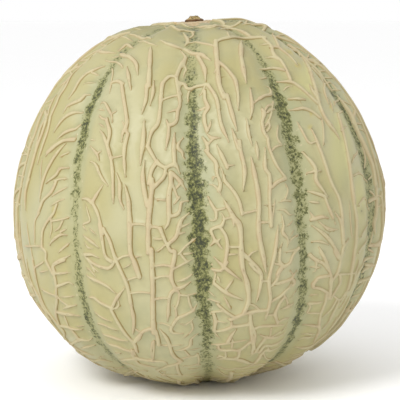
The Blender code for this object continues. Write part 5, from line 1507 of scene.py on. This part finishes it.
def lay_out(mesh, directions):
    """A map of six square fields, one for each side of a cube round the fruit."""
    layer = mesh.uv_layers.new(name="OFBake")
    corners = np.empty(len(mesh.loops), np.int32)
    mesh.loops.foreach_get("vertex_index", corners)
    triangles = corners.reshape(-1, 3)
    middle = directions[triangles].sum(axis=1)
    axis = np.abs(middle).argmax(axis=1)
    ahead = np.take_along_axis(middle, axis[:, None], 1)[:, 0] > 0
    field = axis * 2 + ahead
    places = np.empty((len(triangles), 3, 2))
    for i in range(3):
        spot = directions[triangles[:, i]]
        depth = np.abs(np.take_along_axis(spot, axis[:, None], 1)[:, 0])
        for j in (1, 2):
            side = np.take_along_axis(spot, ((axis + j) % 3)[:, None], 1)[:, 0]
            places[:, i, j - 1] = np.arctan(side / np.maximum(depth, 1e-3)) * 4 / math.pi
    cell = np.stack([field % 3, field // 3], axis=1)[:, None, :]
    uv = (cell + 0.5 + FIELD_HALF * places) / np.array([3.0, 2.0])
    layer.data.foreach_set("uv", uv.astype(np.float32).ravel())


class Wiring:
    """Adds shader nodes: a value given as a socket is linked, and any other is set on the input."""

    def __init__(self, name):
        self.material = bpy.data.materials.new(name)
        self.material.use_nodes = True
        self.tree = self.material.node_tree
        self.shader = self.tree.nodes["Principled BSDF"]
        self.place = self.tree.nodes.new("ShaderNodeTexCoord").outputs["Object"]

    def put(self, socket, value):
        if isinstance(value, bpy.types.NodeSocket):
            self.tree.links.new(value, socket)
        else:
            socket.default_value = value

    def attribute(self, name):
        node = self.tree.nodes.new("ShaderNodeAttribute")
        node.attribute_name = name
        return node.outputs["Fac"]

    def noise(self, size, detail=2.0, roughness=0.5, distortion=0.0):
        """Noise from 0 to 1 whose lumps are about that size in metres."""
        node = self.tree.nodes.new("ShaderNodeTexNoise")
        self.put(node.inputs["Vector"], self.place)
        self.put(node.inputs["Scale"], 1.0 / size)
        self.put(node.inputs["Detail"], detail)
        self.put(node.inputs["Roughness"], roughness)
        self.put(node.inputs["Distortion"], distortion)
        return node.outputs["Fac"]

    def math(self, operation, first, second=0.0):
        node = self.tree.nodes.new("ShaderNodeMath")
        node.operation = operation
        self.put(node.inputs[0], first)
        self.put(node.inputs[1], second)
        return node.outputs[0]

    def ramp(self, value, low, high, start=0.0, end=1.0):
        """Eases from start to end as the value goes from low to high."""
        node = self.tree.nodes.new("ShaderNodeMapRange")
        node.interpolation_type = "SMOOTHSTEP"
        self.put(node.inputs["Value"], value)
        for name, number in (("From Min", low), ("From Max", high), ("To Min", start), ("To Max", end)):
            self.put(node.inputs[name], number)
        return node.outputs["Result"]

    def mix(self, factor, first, second):
        node = self.tree.nodes.new("ShaderNodeMix")
        node.data_type = "RGBA"
        self.put(node.inputs[0], factor)
        self.put(node.inputs[6], first)
        self.put(node.inputs[7], second)
        return node.outputs[2]

    def bump(self, height, distance, strength, below=None):
        node = self.tree.nodes.new("ShaderNodeBump")
        self.put(node.inputs["Height"], height)
        self.put(node.inputs["Distance"], distance)
        self.put(node.inputs["Strength"], strength)
        if below is not None:
            self.put(node.inputs["Normal"], below)
        return node.outputs["Normal"]


def linear(red, green, blue):
    """A colour given as it looks, from 0 to 255, in the numbers that a shader reads."""
    values = []
    for value in (red, green, blue):
        share = value / 255
        values.append(share / 12.92 if share <= 0.04045 else ((share + 0.055) / 1.055) ** 2.4)
    return (*values, 1.0)


PALE_RIND = linear(167, 162, 124)
WARM_RIND = linear(159, 151, 103)
COOL_RIND = linear(148, 147, 110)
HALO_RIND = linear(142, 146, 112)
CROWN_RIND = linear(126, 118, 70)
# Pale yellow underside: partly a ground spot, partly painted light over the shaded bottom
GROUND_SPOT_AND_LIGHT_RIND = linear(196, 180, 122)
# Lighter, yellower rind of the strips down the right side: painted light over yellower rind
PAINTED_LIGHT_RIND = linear(178, 173, 118)
YELLOW_RIND = linear(172, 152, 60)
SUTURE_PALE = linear(132, 131, 76)
SUTURE_MID = linear(86, 88, 38)
SUTURE_DARK = linear(42, 46, 16)
CORK_CREAM = linear(177, 167, 131)
CORK_ROSE = linear(175, 160, 126)
CORK_BROWN = linear(140, 112, 84)
CORK_TAN_AND_SHADE = linear(136, 117, 66)
SKIRT_TAN = linear(160, 136, 92)
SKIRT_PALE = linear(184, 164, 128)
PIT_COLOUR = linear(46, 52, 34)
STUB_DARK = linear(52, 42, 24)
# Brown of the stub's foot: partly its own brown, partly painted shade where it stands in the seat
STUB_FOOT_BROWN_AND_SHADE = linear(96, 66, 36)
STUB_OLIVE = linear(128, 112, 66)
STUB_TAN = linear(168, 144, 98)
FLOOR_COLOUR = (0.98, 0.98, 0.98, 1.0)
FLOOR_REACH = 30.0

# Tints that an attribute lays over the rind, with how strong each is. The pale underside is partly painted
# light, and the strips down the right side are painted light over yellower rind.
TINTS = (
    ("crown", 0.8, CROWN_RIND),
    ("belly_spot_and_light", 0.8, GROUND_SPOT_AND_LIGHT_RIND),
    ("painted_light", 0.7, PAINTED_LIGHT_RIND),
    ("yellow", 0.6, YELLOW_RIND),
)

# Sizes of the patches, specks and grain of the materials
PATCH_SIZE, MOTTLE_SIZE = 0.035, 0.012
RAGGED_SIZE, CLUMP_SIZE, SPECK_SIZE, FLECK_SIZE = 0.0032, 0.0022, 0.0008, 0.0013
CORK_PATCH_SIZE, DASH_SIZE = 0.006, 0.0018
SKIRT_RAGGED_SIZE, SCAR_SIZE = 0.0025, 0.0012
GRAIN_SIZE, GRAIN_DEPTH, GRAIN_STRENGTH = 0.0005, 0.00012, 0.6
PORE_SIZE, PORE_DEPTH, PORE_STRENGTH = 0.0016, 0.0001, 0.35
STREAK_SIZE, STREAK_DEPTH, STREAK_STRENGTH = 0.0009, 0.0002, 0.8
STUB_SPOT_SIZE, STUB_RIM_SIZE = 0.0007, 0.0015
RIND_GLOSS, CORK_GLOSS, STUB_GLOSS, FLOOR_GLOSS = 0.5, 0.85, 0.9, 0.8

# Light
SKY_COLOUR, SKY_STRENGTH = (1.0, 1.0, 1.0, 1.0), 1.0
KEY_PLACE, KEY_SIZE, KEY_POWER = (-0.55, -0.75, 0.85), 0.5, 9.0


def rind_material():
    """Mottled rind with tints, some of which paint light, then the green of the sutures, the pits, the cork
    net with its tan edge darkened by painted shade on the side away from the key light, and the scar over
    it.
    """
    wiring = Wiring("netted_rind")
    cork_gap = wiring.attribute("crest_gap")
    vein_gap = wiring.attribute("vein_gap")
    vein_dark = wiring.attribute("vein_dark")

    colour = wiring.mix(wiring.ramp(wiring.noise(PATCH_SIZE, 2.0), 0.35, 0.65), PALE_RIND, WARM_RIND)
    mottle = wiring.ramp(wiring.noise(MOTTLE_SIZE, 3.0), 0.45, 0.75, 0.0, 0.5)
    colour = wiring.mix(mottle, colour, COOL_RIND)
    for name, strength, tint in TINTS:
        colour = wiring.mix(wiring.math("MULTIPLY", wiring.attribute(name), strength), colour, tint)
    halo = wiring.ramp(vein_dark, 0.0, 0.8, 0.2, 0.5)
    halo = wiring.math("MULTIPLY", wiring.ramp(vein_gap, 3.2, 1.2), halo)
    colour = wiring.mix(halo, colour, HALO_RIND)

    ragged = wiring.ramp(wiring.noise(RAGGED_SIZE, 2.0), 0.3, 0.7, -0.45, 0.45)
    ragged = wiring.math("ADD", vein_gap, ragged)
    inside = wiring.math("MULTIPLY", wiring.ramp(ragged, 1.45, 0.3), vein_dark)
    present = wiring.ramp(inside, 0.02, 0.2)
    colour = wiring.mix(wiring.math("MULTIPLY", inside, 0.9), colour, SUTURE_PALE)
    clump = wiring.ramp(wiring.noise(CLUMP_SIZE, 1.0), 0.3, 0.7, -0.06, 0.06)
    clump = wiring.math("ADD", wiring.noise(SPECK_SIZE, 3.0, 0.6, 0.5), clump)
    level = wiring.math("ADD", clump, wiring.math("MULTIPLY", inside, 0.26))
    specks = wiring.math("MULTIPLY", wiring.ramp(level, 0.52, 0.72), present)
    colour = wiring.mix(specks, colour, SUTURE_MID)
    cores = wiring.math("MULTIPLY", wiring.ramp(level, 0.68, 0.84), present)
    colour = wiring.mix(cores, colour, SUTURE_DARK)
    margin = wiring.math("MULTIPLY", wiring.ramp(vein_gap, 0.6, 1.0), wiring.ramp(vein_gap, 2.0, 1.4))
    flecks = wiring.math("MULTIPLY", wiring.ramp(wiring.noise(FLECK_SIZE, 1.0), 0.66, 0.72), margin)
    colour = wiring.mix(wiring.math("MULTIPLY", flecks, 0.7), colour, CORK_CREAM)
    colour = wiring.mix(wiring.attribute("pit"), colour, PIT_COLOUR)

    cork = wiring.mix(wiring.ramp(wiring.noise(CORK_PATCH_SIZE, 3.0), 0.4, 0.65), CORK_CREAM, CORK_ROSE)
    dashes = wiring.ramp(wiring.noise(DASH_SIZE, 3.0), 0.58, 0.7)
    dashes = wiring.math("MULTIPLY", wiring.ramp(cork_gap, 0.45, 0.1), dashes)
    cork = wiring.mix(wiring.math("MULTIPLY", dashes, 0.45), cork, CORK_BROWN)
    # Tan edge of the cords: their own tan on both sides, made darker with painted shade on the side away
    # from the key light
    edge = wiring.ramp(wiring.attribute("side"), -0.4, 0.6, 0.4, 1.0)
    edge = wiring.math("MULTIPLY", wiring.ramp(cork_gap, 0.62, 0.95), edge)
    cork = wiring.mix(wiring.math("MULTIPLY", edge, 0.95), cork, CORK_TAN_AND_SHADE)
    on_cord = wiring.ramp(cork_gap, 1.16, 1.04)
    colour = wiring.mix(on_cord, colour, cork)
    skirt = wiring.ramp(wiring.noise(SKIRT_RAGGED_SIZE, 3.0), 0.3, 0.7, -0.4, 0.4)
    skirt = wiring.math("ADD", wiring.attribute("skirt"), skirt)
    scar = wiring.mix(wiring.ramp(wiring.noise(SCAR_SIZE, 3.0), 0.4, 0.65), SKIRT_TAN, SKIRT_PALE)
    colour = wiring.mix(wiring.ramp(skirt, 0.45, 0.7), colour, scar)

    wiring.put(wiring.shader.inputs["Base Color"], colour)
    wiring.put(wiring.shader.inputs["Roughness"], wiring.ramp(on_cord, 0.0, 1.0, RIND_GLOSS, CORK_GLOSS))
    grain = wiring.math("MULTIPLY", wiring.noise(GRAIN_SIZE, 3.0, 0.6), on_cord)
    bumps = wiring.bump(grain, GRAIN_DEPTH, GRAIN_STRENGTH)
    bumps = wiring.bump(wiring.noise(PORE_SIZE, 2.0), PORE_DEPTH, PORE_STRENGTH, bumps)
    wiring.put(wiring.shader.inputs["Normal"], bumps)
    return wiring.material


def make_fruit():
    net = grown_net()
    relief = Relief(net)
    spots = fruit_spots(net, relief)
    found, faces, marks = wrapped(spots, relief)
    directions = np.array(found)
    lon, lat = angles(directions)
    points = placed(lon, lat, marks[:, 0])
    fruit = finish_mesh("netted_melon", points, faces, rind_material())
    gap, dark = vein_marks(lon, lat)
    attributes = {
        "crest_gap": np.minimum(marks[:, 1], FAR),
        # Side of each cord away from the key light, where painted shade darkens its edge
        "side": marks[:, 2],
        "vein_gap": gap,
        "vein_dark": dark,
        "pit": spot_marks(points, PITS),
        "yellow": spot_marks(points, YELLOWS),
        # Lighter strips down the right side: painted light over yellower rind
        "painted_light": spot_marks(points, PAINTED_LIGHT_STRIPS),
        "skirt": skirt_marks(lon, lat),
        "crown": end_marks(lat, math.pi / 2, CROWN_REACH),
        # Pale underside: partly a ground spot, partly painted light over the shaded bottom
        "belly_spot_and_light": end_marks(lat, -math.pi / 2, BELLY_LIGHT_REACH),
    }
    for name, values in attributes.items():
        set_attribute(fruit.data, name, values)
    lay_out(fruit.data, directions)
    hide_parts("melon")
    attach(fruit, "root")
    metres = sum(len(curve) for curve, _, _ in net.cords) * CORD_STEP
    print("cords", len(net.cords), "metres", round(metres, 2), "triangles", len(faces))


def stub_material():
    wiring = Wiring("dry_stem")
    streaks = wiring.noise(STREAK_SIZE, 3.0, 0.6)
    colour = wiring.mix(wiring.ramp(streaks, 0.35, 0.65), STUB_TAN, STUB_OLIVE)
    colour = wiring.mix(wiring.ramp(wiring.noise(STUB_SPOT_SIZE, 2.0), 0.56, 0.66), colour, STUB_DARK)
    rim = wiring.ramp(wiring.noise(STUB_RIM_SIZE, 2.0), 0.3, 0.7, -0.1, 0.1)
    rim = wiring.math("ADD", wiring.attribute("height"), rim)
    # Darker brown foot of the stub: partly its own brown, partly painted shade where it meets the rind
    colour = wiring.mix(wiring.ramp(rim, 0.42, 0.3), colour, STUB_FOOT_BROWN_AND_SHADE)
    colour = wiring.mix(wiring.ramp(rim, 0.93, 1.0, 0.0, 0.6), colour, STUB_DARK)
    wiring.put(wiring.shader.inputs["Base Color"], colour)
    wiring.put(wiring.shader.inputs["Roughness"], STUB_GLOSS)
    wiring.put(wiring.shader.inputs["Normal"], wiring.bump(streaks, STREAK_DEPTH, STREAK_STRENGTH))
    return wiring.material


def stub_profile(share):
    """Height and radius of the stub at a share of the way up its side."""
    heights, radii = np.array(STUB_LEVELS).T
    way = np.linspace(0, 1, len(heights))
    return float(np.interp(share, way, heights)), float(np.interp(share, way, radii))


def make_stub():
    """Low dry cone of fibres with a broken flat top, standing in the seat with a gap under it."""
    points, faces, shares = [], [], []
    for level in range(STUB_STEPS + 1):
        share = level / STUB_STEPS
        height, radius = stub_profile(share)
        for i in range(STUB_SIDES):
            turn = 2 * math.pi * i / STUB_SIDES
            place = Vector((math.cos(turn), math.sin(turn), STUB_RISE * share))
            fibre = STUB_LOBING * math.cos(STUB_LOBES * turn)
            fibre += STUB_ROUGHNESS * noise.noise(place * STUB_FIBRES)
            ragged = STUB_BREAK * share ** STUB_BREAK_POWER
            ragged *= noise.noise(place * STUB_BREAKS + STUB_BREAK_PLACE)
            reach = radius * (1 + fibre * min(1.0, share / STUB_FOOT))
            points.append(Vector((reach * math.cos(turn), reach * math.sin(turn), height + ragged)))
            shares.append(share)
    for level in range(STUB_STEPS):
        for i in range(STUB_SIDES):
            low, high = level * STUB_SIDES, (level + 1) * STUB_SIDES
            after = (i + 1) % STUB_SIDES
            faces.append((low + i, low + after, high + after, high + i))
    points.append(Vector((0, 0, STUB_LEVELS[0][0])))
    points.append(Vector((0, 0, STUB_LEVELS[-1][0] - STUB_CUP)))
    shares += [0.0, 1.0]
    top = STUB_STEPS * STUB_SIDES
    for i in range(STUB_SIDES):
        after = (i + 1) % STUB_SIDES
        faces.append((after, i, len(points) - 2))
        faces.append((top + i, top + after, len(points) - 1))
    seat_rim = math.pi / 2 - STUB_LEVELS[0][1] / WIDEST_RADIUS
    turns = np.linspace(0, 2 * math.pi, STUB_SIDES, endpoint=False)
    rim = placed(turns, np.full(STUB_SIDES, seat_rim), np.zeros(STUB_SIDES))
    floor = Vector(placed(np.zeros(1), np.full(1, math.pi / 2), np.zeros(1))[0])
    tilt = Matrix.Rotation(LEAN, 3, "Y")
    axis = tilt @ Vector((0, 0, 1))
    rise = max(0.0, max((Vector(point) - floor).dot(axis) for point in rim))
    stand = floor + axis * (rise + STUB_GAP)
    stub = finish_mesh("woody_stub", [tilt @ point + stand for point in points], faces, stub_material())
    set_attribute(stub.data, "height", shares)
    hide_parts("stem_stub")
    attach(stub, "root")


def make_floor():
    mesh = bpy.data.meshes.new("floor")
    reach = FLOOR_REACH
    corners = [(-reach, -reach, 0), (reach, -reach, 0), (reach, reach, 0), (-reach, reach, 0)]
    mesh.from_pydata(corners, [], [(0, 1, 2, 3)])
    wiring = Wiring("pale_floor")
    wiring.put(wiring.shader.inputs["Base Color"], FLOOR_COLOUR)
    wiring.put(wiring.shader.inputs["Roughness"], FLOOR_GLOSS)
    mesh.materials.append(wiring.material)
    floor = bpy.data.objects.new("floor", mesh)
    bpy.context.collection.objects.link(floor)


def add_light(name, place, size, power):
    data = bpy.data.lights.new(name, "AREA")
    data.shape = "DISK"
    data.size = size
    data.energy = power
    lamp = bpy.data.objects.new(name, data)
    lamp.location = place
    lamp.rotation_euler = (CENTRE - Vector(place)).to_track_quat("-Z", "Y").to_euler()
    bpy.context.collection.objects.link(lamp)


def light_scene():
    """White all round, and one soft light from the upper left of the front."""
    world = bpy.data.worlds.new("studio")
    world.use_nodes = True
    background = world.node_tree.nodes["Background"]
    background.inputs["Color"].default_value = SKY_COLOUR
    background.inputs["Strength"].default_value = SKY_STRENGTH
    bpy.context.scene.world = world
    add_light("key", KEY_PLACE, KEY_SIZE, KEY_POWER)
    bpy.context.scene.view_settings.view_transform = "Standard"


def add_camera():
    data = bpy.data.cameras.new("view")
    data.sensor_width = SENSOR_WIDTH
    data.lens = VIEW_DISTANCE / PIXEL / FRAME_PIXELS * data.sensor_width
    data.shift_x = (FRAME_PIXELS / 2 - VIEW_CENTRE[0]) / FRAME_PIXELS
    data.shift_y = (VIEW_CENTRE[1] - FRAME_PIXELS / 2) / FRAME_PIXELS
    camera = bpy.data.objects.new("view", data)
    camera.location = CENTRE - VIEW_DISTANCE * Vector(VIEW_FORWARD)
    camera.rotation_euler = (math.pi / 2 - VIEW_RISE, 0.0, 0.0)
    bpy.context.collection.objects.link(camera)
    bpy.context.scene.camera = camera


make_fruit()
make_stub()
make_floor()
light_scene()
add_camera()
